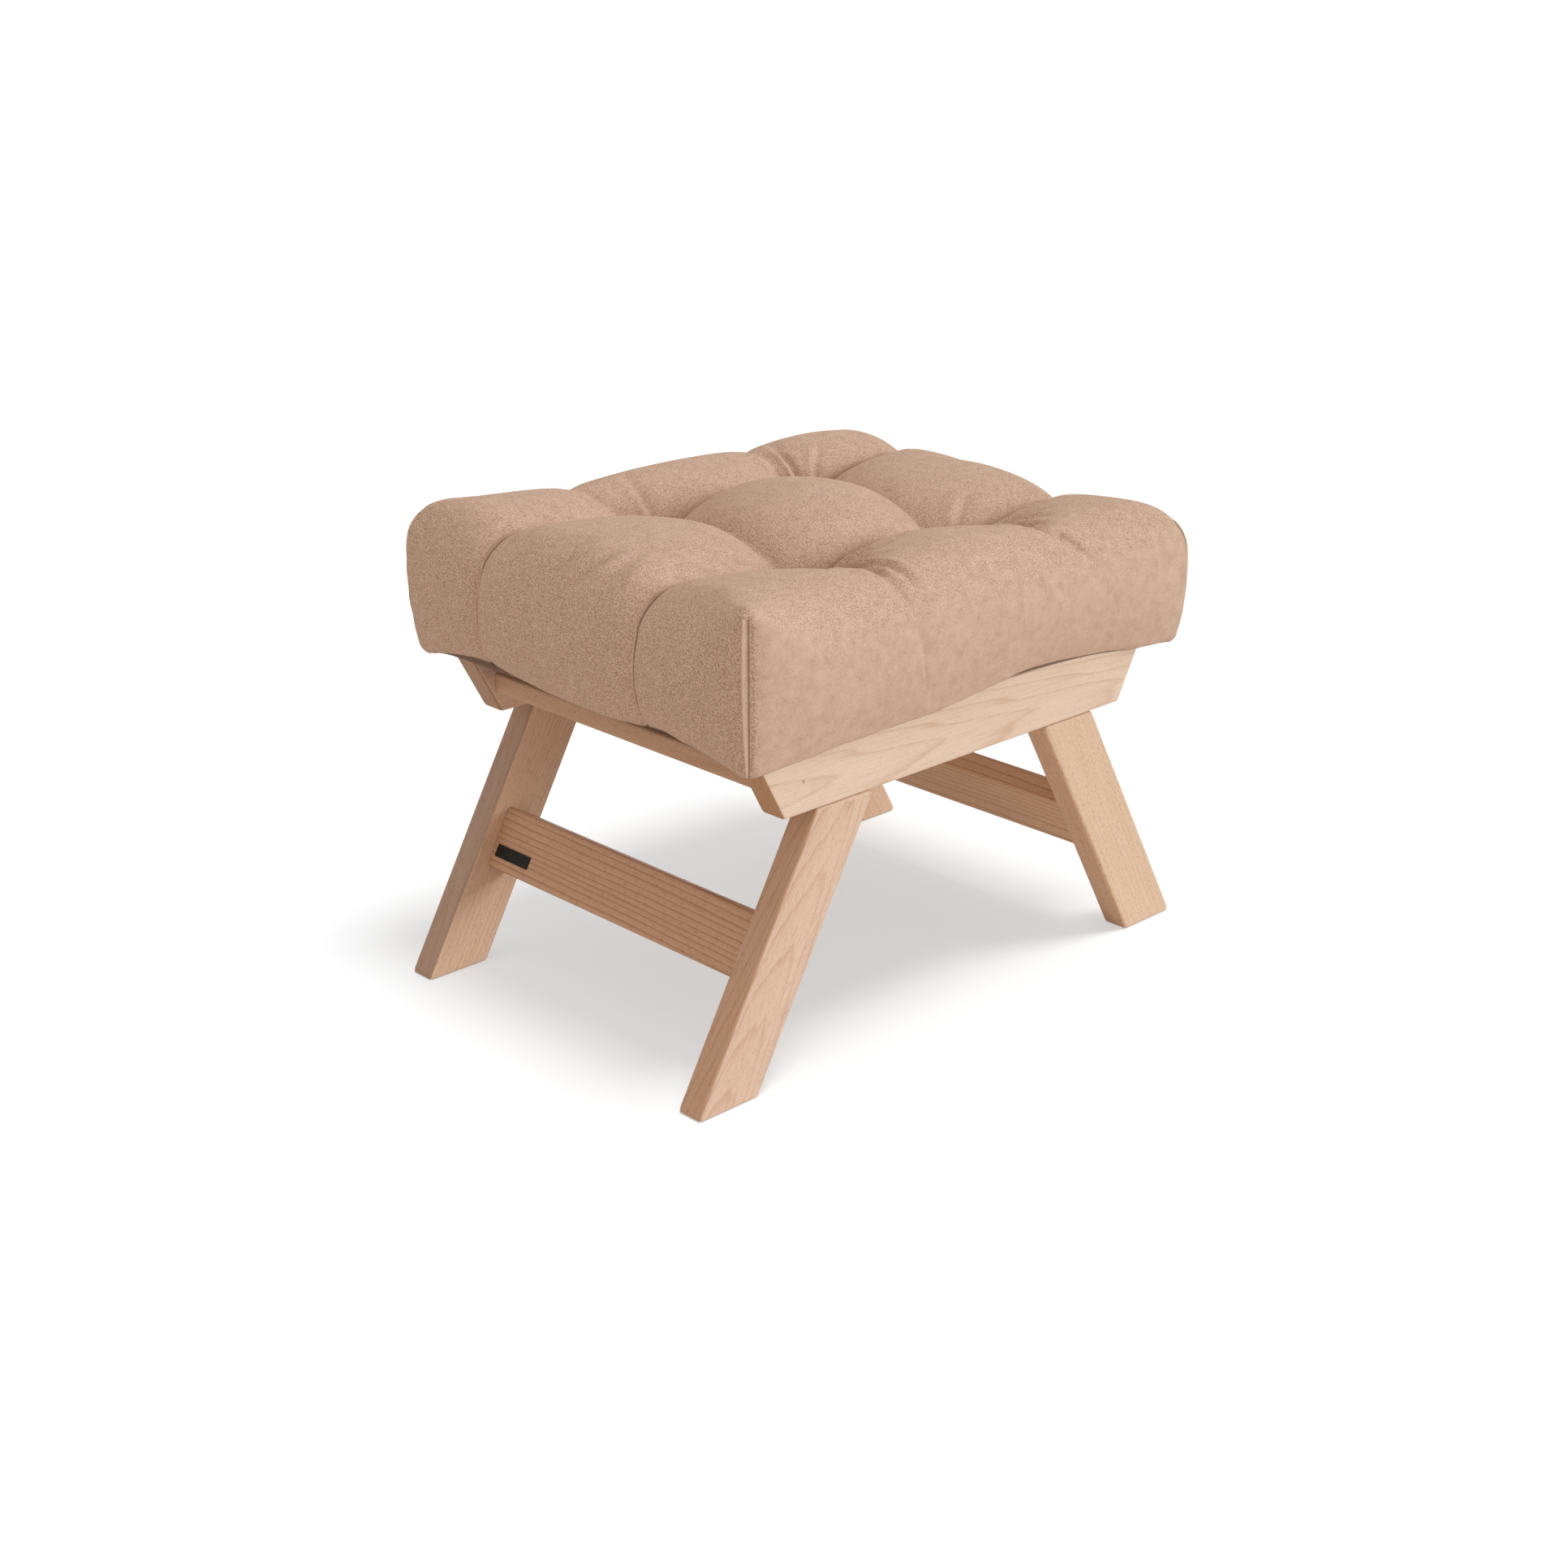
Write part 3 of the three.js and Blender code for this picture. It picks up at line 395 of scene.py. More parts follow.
cushionShape = {
    "cells": (96, 84, 28),               # quads along X, across Y and down the sides
    "crowding": 0.6,                     # how much closer the rows stand at tufts and corners
    "crowdingDown": 0.2,                 # the same for the rows down the sides
    "left": (-0.243, -0.252),            # upright left side: X at the near and far ends
    "right": (0.269, 0.263),
    "near": (-0.193, -0.199),            # upright near side: Y at the left and right ends
    "far": (0.214, 0.206),
    "tuftX": (-0.074, 0.110), "tuftY": (-0.077, 0.109),
    # height of the nine puffs: near row first, each row from left to right
    "crest": ((0.401, 0.403, 0.399), (0.409, 0.414, 0.402), (0.415, 0.414, 0.419)),
    "edgeFall": 0.006,                   # how much lower the top lies along its edges
    "roll": 0.044,                       # radius of the shoulder, except at the corners
    # at the near left, near right, far left and far right corners
    "cornerRoll": (0.007, 0.038, 0.036, 0.054),      # radius of the shoulder
    "cornerTuck": (0.0005, 0.004, 0.006, 0.008),     # how far the hem is drawn in
    "cornerRise": (0.0035, 0.000, 0.009, -0.021),    # how much higher the top lies
    "cornerRound": (0.016, 0.004, 0.008, 0.018),     # radius in plan
    "cornerReach": 0.050,                # how far the roll of a corner is felt along a side
    "shoulderBlend": 0.35,               # share of a side that eases into the top
    "hemTuck": 0.0045, "hemShare": 0.08,   # the bottom of each side curls under
    "endReach": 0.02,                    # over this length the ends give way to the next side
    # the sides bulge in an arch that has begun at the shoulder, and less at a corner
    "bulge": 0.009, "bulgeStart": 0.18, "cornerFullness": 0.45, "fullReach": 0.04,
    # depths of the valleys at the tufts, at the edge, on the side and at the hem
    "seamDepth": 0.036, "seamEdgeDepth": 0.017, "seamSideDepth": 0.006, "seamHemDepth": 0.003,
    "creaseDepth": 0.030, "creaseEdgeDepth": 0.0045, "creaseSideDepth": 0.001,
    "edgeRun": (0.150, 0.065, 0.02),     # how far out from the shoulder these depths lie
    "betweenTufts": 0.85,                # share of the depth halfway between two tufts
    # a valley is a sharp fold of this width and share inside a rounder one
    "foldReach": 0.013, "foldShare": 0.5, "roundReach": 0.095,
    "creaseSoftness": 0.003,             # a crease has no stitches, so its bottom is round
    "tuftDepth": 0.016, "tuftReach": 0.024,
    # how far each seam and crease runs from its tuft line, by place along the flat cover
    "seamDrift": (((-0.378, -0.007), (-0.355, -0.001), (-0.335, 0.004), (-0.27, 0.005),
                   (-0.19, 0.009), (-0.13, 0.006), (-0.09, 0), (0.2, 0), (0.29, 0.002),
                   (0.36, 0.004)),
                  ((-0.36, 0.013), (-0.30, 0.011), (-0.25, 0.006), (-0.2, 0.003), (-0.09, 0),
                   (0.2, 0), (0.29, 0.004), (0.36, 0.006))),
    "creaseDrift": (((-0.30, 0.022), (-0.23, 0.006), (-0.18, 0.001), (-0.077, 0), (0.109, 0),
                     (0.18, -0.028), (0.30, -0.03)),
                    ((-0.30, 0.080), (-0.23, 0.045), (-0.18, 0.020), (-0.077, 0), (0.109, 0),
                     (0.18, -0.006), (0.30, -0.01))),
    # the underside rests on the rails and sags onto the slats, between these places
    "railTop": 0.2805, "slatTop": 0.2619,
    "sagEnd": 0.028, "railInside": 0.153, "sagSlope": 0.04,
    # the hem round the cushion: place along the side and height
    "hemLeft": ((-0.192, 0.266), (-0.142, 0.2755), (-0.112, 0.2795), (-0.098, 0.2825),
                (-0.086, 0.282), (-0.067, 0.2793), (-0.031, 0.2765), (0.023, 0.278),
                (0.040, 0.279), (0.082, 0.2835), (0.107, 0.287), (0.129, 0.288),
                (0.160, 0.2845), (0.205, 0.277)),
    "hemNear": ((-0.238, 0.266), (-0.150, 0.270), (-0.060, 0.272), (-0.010, 0.278),
                (0.030, 0.284), (0.060, 0.282), (0.106, 0.2755), (0.159, 0.269),
                (0.218, 0.267), (0.262, 0.265)),
    "hemRight": ((-0.195, 0.269), (-0.130, 0.277), (-0.080, 0.282), (-0.020, 0.276),
                 (0.060, 0.275), (0.110, 0.283), (0.160, 0.278), (0.200, 0.273)),
    "hemFar": ((-0.250, 0.277), (-0.160, 0.274), (-0.080, 0.279), (-0.040, 0.283),
               (0.040, 0.276), (0.110, 0.281), (0.170, 0.275), (0.258, 0.272)),
}


onFace = 0.9999        # the share of the lattice's half size past which a point is on its face
nowhere = 0.03         # stands for a distance too large to matter
# what each point remembers of the flat cover until the cushion is sewn
laid = ("s", "t", "corner", "seam0", "seam1", "down", "cover", "under", "held")


def mix(low, high, share):
    return low + (high - low) * share


def smooth(share):
    share = np.clip(share, 0, 1)
    return share * share * (3 - 2 * share)


def along(place, pairs):
    return np.interp(place, *zip(*pairs))


def rowShares(t, crowding):
    # how far a row at t, from -1 to 1, lies from its tuft line to the edge and between the lines
    outer = np.clip((np.abs(t) * 3 - 1) / 2, 0, 1)
    inner = np.clip((t * 3 + 1) / 2, 0, 1)
    outer, inner = (q - crowding * np.sin(2 * math.pi * q) / (2 * math.pi) for q in (outer, inner))
    return outer, inner, np.abs(t) <= 1 / 3


def overTop(t, tufts, low, high, roll, crowding):
    # rows over the top: flat from the tuft line, then round the shoulder to 45 degrees
    outer, inner, inside = rowShares(t, crowding)
    sign = np.sign(t)
    tuft = np.where(sign < 0, tufts[0], tufts[1])
    edge = np.where(sign < 0, low, high)
    flat = np.abs(edge - tuft) - roll
    length = outer * (flat + roll * math.pi / 4)
    turn = np.maximum(0, length - flat) / roll
    outward = np.minimum(length, flat) + roll * np.sin(turn)
    between = mix(tufts[0], tufts[1], inner)
    place = np.where(inside, between, tuft + sign * outward)
    unrolled = np.where(inside, between, tuft + sign * length)
    return place, turn, unrolled


def onSidePlane(t, tufts, low, high, crowding):
    # the same rows on a side that stays in its plane
    outer, inner, inside = rowShares(t, crowding)
    beyond = np.where(t < 0, mix(tufts[0], low, outer), mix(tufts[1], high, outer))
    return np.where(inside, mix(tufts[0], tufts[1], inner), beyond)


def cornerMix(values, a, b):
    # blends four corner values over a square from -1 to 1 both ways
    nearLeft, nearRight, farLeft, farRight = values
    share = (a + 1) / 2
    return mix(mix(nearLeft, nearRight, share), mix(farLeft, farRight, share), (b + 1) / 2)


def betweenThree(place, stations, values):
    # a smooth run through three values, level beyond the first and the last
    first = smooth((place - stations[0]) / (stations[1] - stations[0]))
    second = smooth((place - stations[1]) / (stations[2] - stations[1]))
    return values[0] + (values[1] - values[0]) * first + (values[2] - values[1]) * second


def middles(low, tufts, high):
    # the middles of the three puffs in a row
    return (low + tufts[0]) / 2, sum(tufts) / 2, (high + tufts[1]) / 2


def roundedInPlan(points, edges, radii):
    # bends the square at each corner of the plan into a quarter circle
    points = points.copy()
    left, right, near, far = edges
    corners = ((left, near, 1, 1), (right, near, -1, 1), (left, far, 1, -1), (right, far, -1, -1))
    for (cornerX, cornerY, inX, inY), radius in zip(corners, radii):
        centreX, centreY = cornerX + inX * radius, cornerY + inY * radius
        u = (centreX - points[:, 0]) * inX / radius
        v = (centreY - points[:, 1]) * inY / radius
        inside = (u > 0) & (v > 0)
        reach = np.maximum(u, v)
        turn = np.minimum(u, v) / np.maximum(reach, 1e-9) * math.pi / 4
        alongX = np.where(u > v, np.cos(turn), np.sin(turn))
        alongY = np.where(u > v, np.sin(turn), np.cos(turn))
        points[:, 0] = np.where(inside, centreX - inX * radius * reach * alongX, points[:, 0])
        points[:, 1] = np.where(inside, centreY - inY * radius * reach * alongY, points[:, 1])
    return points


def layOutCushion(lattice, shape):
    # the place of every point of a box lattice on the cushion, and where it lies on the cover
    a, b, c = lattice.T
    left, right = (mix(*shape[side], (b + 1) / 2) for side in ("left", "right"))
    near, far = (mix(*shape[side], (a + 1) / 2) for side in ("near", "far"))
    crowding = shape["crowding"]
    onX, onY, onTop = np.abs(a) > onFace, np.abs(b) > onFace, c > onFace
    onSide = onX | onY
    below = onSide & ~onTop
    signX, signY = np.sign(a), np.sign(b)
    edgeX = np.where(a < 0, left, right)
    edgeY = np.where(b < 0, near, far)
    tuck = cornerMix(shape["cornerTuck"], a, b)
    plainX = onSidePlane(a, shape["tuftX"], left, right, crowding)
    plainY = onSidePlane(b, shape["tuftY"], near, far, crowding)
    fromEndX = np.minimum(plainX - left, right - plainX)
    fromEndY = np.minimum(plainY - near, far - plainY)

    # the shoulder rolls over gently along each side and differently at the corners
    def rollAt(fromCorner):
        tight = cornerMix(shape["cornerRoll"], signX, signY)
        return mix(tight, shape["roll"], 1 - np.exp(-(fromCorner / shape["cornerReach"]) ** 2))

    rollX, rollY = rollAt(fromEndY), rollAt(fromEndX)
    roll = np.where(onX, rollX, rollY)
    columns = middles(shape["left"][0], shape["tuftX"], shape["right"][0])
    rows = middles(shape["near"][0], shape["tuftY"], shape["far"][0])

    def heightAt(x, y):
        u = np.clip((x - left) / (right - left) * 2 - 1, -1, 1)
        v = np.clip((y - near) / (far - near) * 2 - 1, -1, 1)
        height = betweenThree(y, rows, [betweenThree(x, columns, row) for row in shape["crest"]])
        height = height - shape["edgeFall"] * (1 - (1 - u ** 4) * (1 - v ** 4))
        return height + cornerMix(shape["cornerRise"], u, v) * (u * v) ** 2

    hem = np.where(b < 0, along(plainX, shape["hemNear"]), along(plainX, shape["hemFar"]))
    hem = np.where(onX, np.where(a < 0, along(plainY, shape["hemLeft"]),
                                 along(plainY, shape["hemRight"])), hem)
    edge = heightAt(np.where(onX, edgeX, plainX), np.where(onY, edgeY, plainY))
    arc = roll * math.pi / 4
    down = (1 - c) / 2
    down = down + shape["crowdingDown"] * np.sin(math.pi * down) / math.pi
    length = np.where(onSide, down * (arc + edge - roll - hem), 0)

    # where each point lies on the cover laid flat, s along X and t across, and how far from it
    # the seams and creases run
    def flatPlaces(tuftsX, tuftsY):
        x, turnX, s = overTop(a, tuftsX, left, right, rollX, crowding)
        y, turnY, t = overTop(b, tuftsY, near, far, rollY, crowding)
        sideX = onSidePlane(a, tuftsX, left, right, crowding)
        sideY = onSidePlane(b, tuftsY, near, far, crowding)
        s = np.where(below, np.where(onX, s + signX * length, sideX), s)
        t = np.where(below, np.where(onY, t + signY * length, sideY), t)
        return x, y, turnX, turnY, sideX, sideY, s, t

    *_, s, t = flatPlaces(shape["tuftX"], shape["tuftY"])
    seamsAt = [tuft + along(s, drift) for tuft, drift in zip(shape["tuftY"], shape["seamDrift"])]
    creasesAt = [tuft + along(t, drift)
                 for tuft, drift in zip(shape["tuftX"], shape["creaseDrift"])]
    x, y, turnX, turnY, sideX, sideY, s, t = flatPlaces(creasesAt, seamsAt)

    dropX = rollX * (1 - np.cos(turnX))
    dropY = rollY * (1 - np.cos(turnY))
    top = np.stack([x, y, heightAt(x, y) - np.cbrt(dropX ** 3 + dropY ** 3)], axis=1)

    # the sides: from the shoulder down to the hem
    fromCorner = np.where(onX & onY, 0, np.where(onX, fromEndY, fromEndX))
    fullness = mix(shape["cornerFullness"], 1,
                   1 - np.exp(-(fromCorner / shape["fullReach"]) ** 2))

    # where a side turns in at the hem, its ends give way to the neighbouring side
    endX, endY = (sign * np.exp(-(away / shape["endReach"]) ** 2)
                  for sign, away in ((signX, fromEndX), (signY, fromEndY)))

    def sidePoint(length):
        turn = math.pi / 4 + np.minimum(length, arc) / roll
        inset = roll * (1 - np.sin(turn))
        hanging = np.maximum(0, length - arc)
        share = hanging / (edge - roll - hem)
        swell = np.sin(math.pi * np.clip(mix(shape["bulgeStart"], 1, share), 0, 1))
        curl = np.clip(1 - (1 - share) / shape["hemShare"], 0, 1)
        inward = tuck * np.clip(share, 0, 1) ** 3 + shape["hemTuck"] * curl ** 2
        push = shape["bulge"] * fullness * swell * np.sin(turn) ** 4 - inward
        px = np.where(onX, edgeX + signX * (push - inset), sideX - inward * endX)
        py = np.where(onY, edgeY + signY * (push - inset), sideY - inward * endY)
        return np.stack([px, py, edge - roll * (1 - np.cos(turn)) - hanging], axis=1)

    start = sidePoint(np.zeros_like(length))
    side = sidePoint(length) + (top - start) * (1 - smooth(down / shape["shoulderBlend"]))[:, None]

    # the underside: rests on the rails and sags between them
    sag = (smooth((fromEndX - shape["sagEnd"]) / shape["sagSlope"])
           * smooth((shape["railInside"] - np.abs(plainY)) / shape["sagSlope"]))
    inward = tuck + shape["hemTuck"]
    under = np.stack([plainX - inward * endX, plainY - inward * endY,
                      mix(shape["railTop"], shape["slatTop"], sag)], axis=1)

    points = np.where(onTop[:, None], top, np.where(onSide[:, None], side, under))
    points = roundedInPlan(points, (left, right, near, far), shape["cornerRound"])
    # how far a point lies from the nearest corner seam: below 0 on the end sides
    corner = np.where(below, np.where(onX, -fromEndY, fromEndX), nowhere)
    flat = {"s": s, "t": t, "corner": np.where(onX & onY & below, 0, corner),
            "seam0": t - seamsAt[0], "seam1": t - seamsAt[1],
            "crease0": s - creasesAt[0], "crease1": s - creasesAt[1], "down": length}
    return points, flat


def boxLattice(cells):
    # a cube cut into rows along each of its three directions
    deselectAll()
    bpy.ops.mesh.primitive_cube_add(size=2)
    box = bpy.context.object
    bpy.ops.object.mode_set(mode="EDIT")
    bpy.ops.mesh.select_mode(type="EDGE")
    for axis, count in enumerate(cells):
        mesh = bmesh.from_edit_mesh(box.data)
        for edge in mesh.edges:
            span = edge.verts[1].co - edge.verts[0].co
            edge.select_set(abs(span[axis]) > 0.5 * span.length)
        mesh.select_flush_mode()
        bmesh.update_edit_mesh(box.data)
        bpy.ops.mesh.subdivide(number_cuts=count - 1)
    bpy.ops.object.mode_set(mode="OBJECT")
    return box


def valley(away, shape):
    # the depth of a fold at a distance from its line: sharp at the line, round beside it
    away = np.abs(away)
    sharp = np.exp(-away / shape["foldReach"])
    broad = np.clip(1 - away / shape["roundReach"], 0, 1) ** 2
    return mix(broad, sharp, shape["foldShare"])


def dipsOf(flat, shape):
    # how far the cover is drawn in at a point of the cover laid flat
    tuftX, tuftY, roll = shape["tuftX"], shape["tuftY"], shape["roll"]

    def alongRun(place, low, high, tufts, depth, ends):
        out = shape["edgeRun"]
        run = (*(low + roll - away for away in out), tufts[0], sum(tufts) / 2, tufts[1],
               *(high - roll + away for away in reversed(out)))
        middle = depth * shape["betweenTufts"]
        return np.interp(place, run, (*ends, depth, middle, depth, *reversed(ends)))

    seamEnds = (shape["seamHemDepth"], shape["seamSideDepth"], shape["seamEdgeDepth"])
    creaseEnds = (0.0, shape["creaseSideDepth"], shape["creaseEdgeDepth"])
    seamDepth = alongRun(flat["s"], shape["left"][0], shape["right"][0], tuftX,
                         shape["seamDepth"], seamEnds)
    creaseDepth = alongRun(flat["t"], shape["near"][0], shape["far"][0], tuftY,
                           shape["creaseDepth"], creaseEnds)
    dip = np.zeros_like(seamDepth)
    for key in ("seam0", "seam1"):
        dip += seamDepth * valley(flat[key], shape)
    for key in ("crease0", "crease1"):
        away = np.sqrt(flat[key] ** 2 + shape["creaseSoftness"] ** 2) - shape["creaseSoftness"]
        dip += creaseDepth * valley(away, shape)
        for seam in ("seam0", "seam1"):
            fromTuft = np.hypot(flat[key], flat[seam])
            dip += shape["tuftDepth"] * np.exp(-fromTuft / shape["tuftReach"])
    return dip


def makeCushion(shape):
    cushion = boxLattice(shape["cells"])
    cushion.name = cushion.data.name = "tufted_cushion"
    lattice = readPoints(cushion)
    points, flat = layOutCushion(lattice, shape)
    writePoints(cushion, points)
    normals = readNormals(cushion)
    onCover = lattice[:, 2] > -onFace
    onEdge = np.abs(lattice[:, :2]).max(axis=1) > onFace
    hemRow = onEdge & ~onCover
    dip = np.where(onCover | hemRow, dipsOf(flat, shape), 0)
    normals[hemRow, 2] = 0
    writePoints(cushion, points - normals * dip[:, None])
    flat["cover"], flat["under"] = onCover | hemRow, ~onCover
    flat["held"] = heldShare(flat, onCover, hemRow, clothSetup)
    for key in laid:
        addAttribute(cushion, key, flat[key])
    return cushion


# The simulation: air pressure swells the cover between the stitches that hold it

clothSetup = {
    "frames": 20, "quality": 6, "pressure": 4.0,
    "slack": 0.008,                      # how much longer the cloth is cut than it lies
    "mass": 0.2, "stiffness": 12, "shear": 6, "bending": 0.15, "pin": 20,
    # the width of what each stitch holds, and how firmly a tuft, seam or corner seam holds it
    "tuftGrip": 0.010, "seamGrip": 0.0015, "cornerGrip": 0.0012,
    "seamHold": 0.7, "cornerHold": 0.8,
    "farthest": 0.011,                   # no point moves further than this
    "keptSwell": 0.25, "keptWrinkles": 0.6,   # shares of the broad and fine moves that stay
    "smoothing": 90,                     # rounds that part the broad moves from the fine ones
}


def heldShare(flat, onCover, hemRow, setup):
    # 1 where a tuft, the hem or the frame holds the cloth, and less along the seams
    held = np.where(onCover & ~hemRow, 0.0, 1.0)
    for seam in ("seam0", "seam1"):
        held = np.maximum(held, setup["seamHold"] * (np.abs(flat[seam]) < setup["seamGrip"]))
        for crease in ("crease0", "crease1"):
            held = np.maximum(held, np.hypot(flat[seam], flat[crease]) < setup["tuftGrip"])
    return np.maximum(held, setup["cornerHold"] * (np.abs(flat["corner"]) < setup["cornerGrip"]))


def smoothedOver(obj, values, rounds):
    # averages each point's values with those of its neighbours, again and again
    edges = np.empty(len(obj.data.edges) * 2, dtype=np.int64)
    obj.data.edges.foreach_get("vertices", edges)
    one, other = edges.reshape(-1, 2).T
    count = np.bincount(np.concatenate([one, other]), minlength=len(values))[:, None]
    for _ in range(rounds):
        total = np.zeros_like(values)
        for axis in range(values.shape[1]):
            total[:, axis] = (np.bincount(one, values[other, axis], len(values))
                              + np.bincount(other, values[one, axis], len(values)))
        values = values * 0.5 + total / count * 0.5
    return values


def blowUp(cushion, setup):
    before = readPoints(cushion)
    held = readAttribute(cushion, "held")
    group = cushion.vertex_groups.new(name="held")
    for index in np.nonzero(held > 0)[0]:
        group.add([int(index)], float(held[index]), "REPLACE")
    pick(cushion)
    bpy.ops.object.modifier_add(type="CLOTH")
    cloth = cushion.modifiers[-1]
    settings = cloth.settings
    settings.quality = setup["quality"]
    settings.mass = setup["mass"]
    settings.tension_stiffness = settings.compression_stiffness = setup["stiffness"]
    settings.shear_stiffness = setup["shear"]
    settings.bending_stiffness = setup["bending"]
    settings.use_pressure = True
    settings.uniform_pressure_force = setup["pressure"]
    settings.shrink_min = settings.shrink_max = -setup["slack"]
    settings.vertex_group_mass = "held"
    settings.pin_stiffness = setup["pin"]
    settings.effector_weights.gravity = 0
    cloth.collision_settings.use_collision = False
    cloth.point_cache.frame_start, cloth.point_cache.frame_end = 1, setup["frames"]
    scene = bpy.context.scene
    for step in range(1, setup["frames"] + 1):
        scene.frame_set(step)
    bpy.ops.object.modifier_apply(modifier=cloth.name)
    scene.frame_set(1)
    cushion.vertex_groups.remove(cushion.vertex_groups["held"])

    # keep part of the wrinkles and of the swell
    moved = readPoints(cushion) - before
    moved[held >= 1] = 0
    swell = smoothedOver(cushion, moved, setup["smoothing"])
    moved = (moved - swell) * setup["keptWrinkles"] + swell * setup["keptSwell"]
    moved = moved * (1 - np.floor(held))[:, None]
    reach = np.linalg.norm(moved, axis=1)
    limit = setup["farthest"] * np.tanh(reach / setup["farthest"]) / np.maximum(reach, 1e-9)
    writePoints(cushion, before + moved * limit[:, None])
    print("cloth blown up: largest move", round(float(reach.max()) * 1000, 1), "mm, mean",
          round(float(reach.mean()) * 1000, 2), "mm")


cushion = makeCushion(cushionShape)
print("cushion laid out:", len(cushion.data.vertices), "points")
blowUp(cushion, clothSetup)

pick(cushion)
subdivision = cushion.modifiers.new("subdivision", "SUBSURF")
subdivision.levels = subdivision.render_levels = 1
bpy.ops.object.modifier_apply(modifier=subdivision.name)

# Sewing: seam grooves, the rolled corner seams and the folds that run out of the tufts

sewing = {
    "grooveWidth": 0.0017, "grooveDepth": 0.0021,   # the stitched line
    # the rolled edge of a corner seam, and the ditch beside it
    "weltPlace": -0.0012, "weltWidth": 0.0010, "weltHeight": 0.0012,
    "ditchPlace": 0.0010, "ditchWidth": 0.0013, "ditchDepth": 0.0012,
    # both begin this far below the shoulder and fade out just above the hem
    "rollStart": 0.006, "rollEnd": 0.270, "rollFade": 0.010,
    "topAway": 0.01,                     # keeps their finish off the top
    # the pinched point where the near left corner seam ends
    "earTop": (-0.237, -0.188, 0.399), "earReach": 0.009, "earPull": (-0.0015, -0.0015, 0.0040),
}
foldForm = {
    "bow": 0.15,                         # how far a fold bends, as a share of its length
    "narrowest": 0.7, "widening": 0.9,   # of its width, at the start and over its length
    "sharpness": 1.3,                    # 1 would be a crease and 2 a round groove
    "ridge": 0.5, "ridgeAt": 1.6,        # the ridge beside it, of its depth and width
    "lead": 0.12, "fadeIn": 0.2, "fadeOut": 0.75,   # shares of its length
}
folds = (
    # s and t at the start and at the end, depth, width
    ((0.122, -0.094), (0.136, -0.176), 0.0075, 0.0034),
    ((0.131, -0.088), (0.166, -0.160), 0.0063, 0.0034),
    ((0.118, -0.104), (0.118, -0.196), 0.0046, 0.0040),
    ((0.142, -0.080), (0.200, -0.110), 0.0032, 0.0040),
    ((-0.064, -0.094), (-0.068, -0.172), 0.0069, 0.0034),
    ((-0.056, -0.090), (-0.038, -0.150), 0.0052, 0.0034),
    ((-0.088, -0.094), (-0.110, -0.150), 0.0040, 0.0040),
    ((0.098, 0.126), (0.084, 0.185), 0.0069, 0.0036),
    ((0.120, 0.128), (0.128, 0.190), 0.0057, 0.0034),
    ((0.132, 0.118), (0.170, 0.150), 0.0040, 0.0040),
    ((-0.088, 0.124), (-0.120, 0.185), 0.0046, 0.0040),
    ((-0.062, 0.126), (-0.050, 0.180), 0.0040, 0.0040),
    ((-0.095, 0.095), (-0.150, 0.070), 0.0030, 0.0040),
    ((-0.098, -0.066), (-0.165, -0.036), 0.0037, 0.0048),
    ((0.130, 0.096), (0.185, 0.066), 0.0040, 0.0040),
    ((0.128, -0.060), (0.180, -0.030), 0.0034, 0.0044),
    ((-0.213, -0.014), (-0.280, 0.014), 0.0038, 0.0055),
    ((-0.226, 0.018), (-0.276, 0.038), 0.0030, 0.0055),
    ((-0.192, -0.028), (-0.268, -0.030), 0.0026, 0.0065),
    ((-0.070, -0.080), (-0.012, -0.076), 0.0069, 0.0026),
    ((0.114, -0.080), (0.172, -0.072), 0.0069, 0.0027),
    ((0.124, -0.088), (0.184, -0.128), 0.0092, 0.0032),
    ((-0.060, -0.087), (-0.014, -0.126), 0.0088, 0.0032),
    ((0.098, -0.128), (0.140, -0.192), 0.0065, 0.0034),
    ((0.106, -0.150), (0.150, -0.214), 0.0048, 0.0036),
    ((-0.072, -0.122), (-0.073, -0.202), 0.0060, 0.0034),
    ((-0.061, -0.130), (-0.054, -0.210), 0.0050, 0.0036),
    ((-0.372, -0.104), (-0.340, -0.112), 0.0034, 0.0040),
    ((-0.374, -0.074), (-0.345, -0.052), 0.0030, 0.0048),
)


def bellAt(value, place, width):
    return np.exp(-((value - place) / width) ** 2)


def foldDip(s, t, fold, form):
    # a groove with a ridge beside it, strongest near its start
    (s0, t0), (s1, t1), depth, width = fold
    run = np.array([s1 - s0, t1 - t0])
    reach = np.linalg.norm(run)
    ahead = ((s - s0) * run[0] + (t - t0) * run[1]) / reach ** 2
    aside = ((t - t0) * run[0] - (s - s0) * run[1]) / reach
    aside = aside + form["bow"] * reach * (ahead - 0.5) ** 2
    spread = width * (form["narrowest"] + form["widening"] * np.clip(ahead, 0, 1))
    groove = np.exp(-np.abs(aside / spread) ** form["sharpness"])
    ridge = form["ridge"] * bellAt(aside, form["ridgeAt"] * spread, spread)
    taper = smooth((ahead + form["lead"]) / form["fadeIn"]) * smooth((1 - ahead) / form["fadeOut"])
    return depth * (groove - ridge) * taper


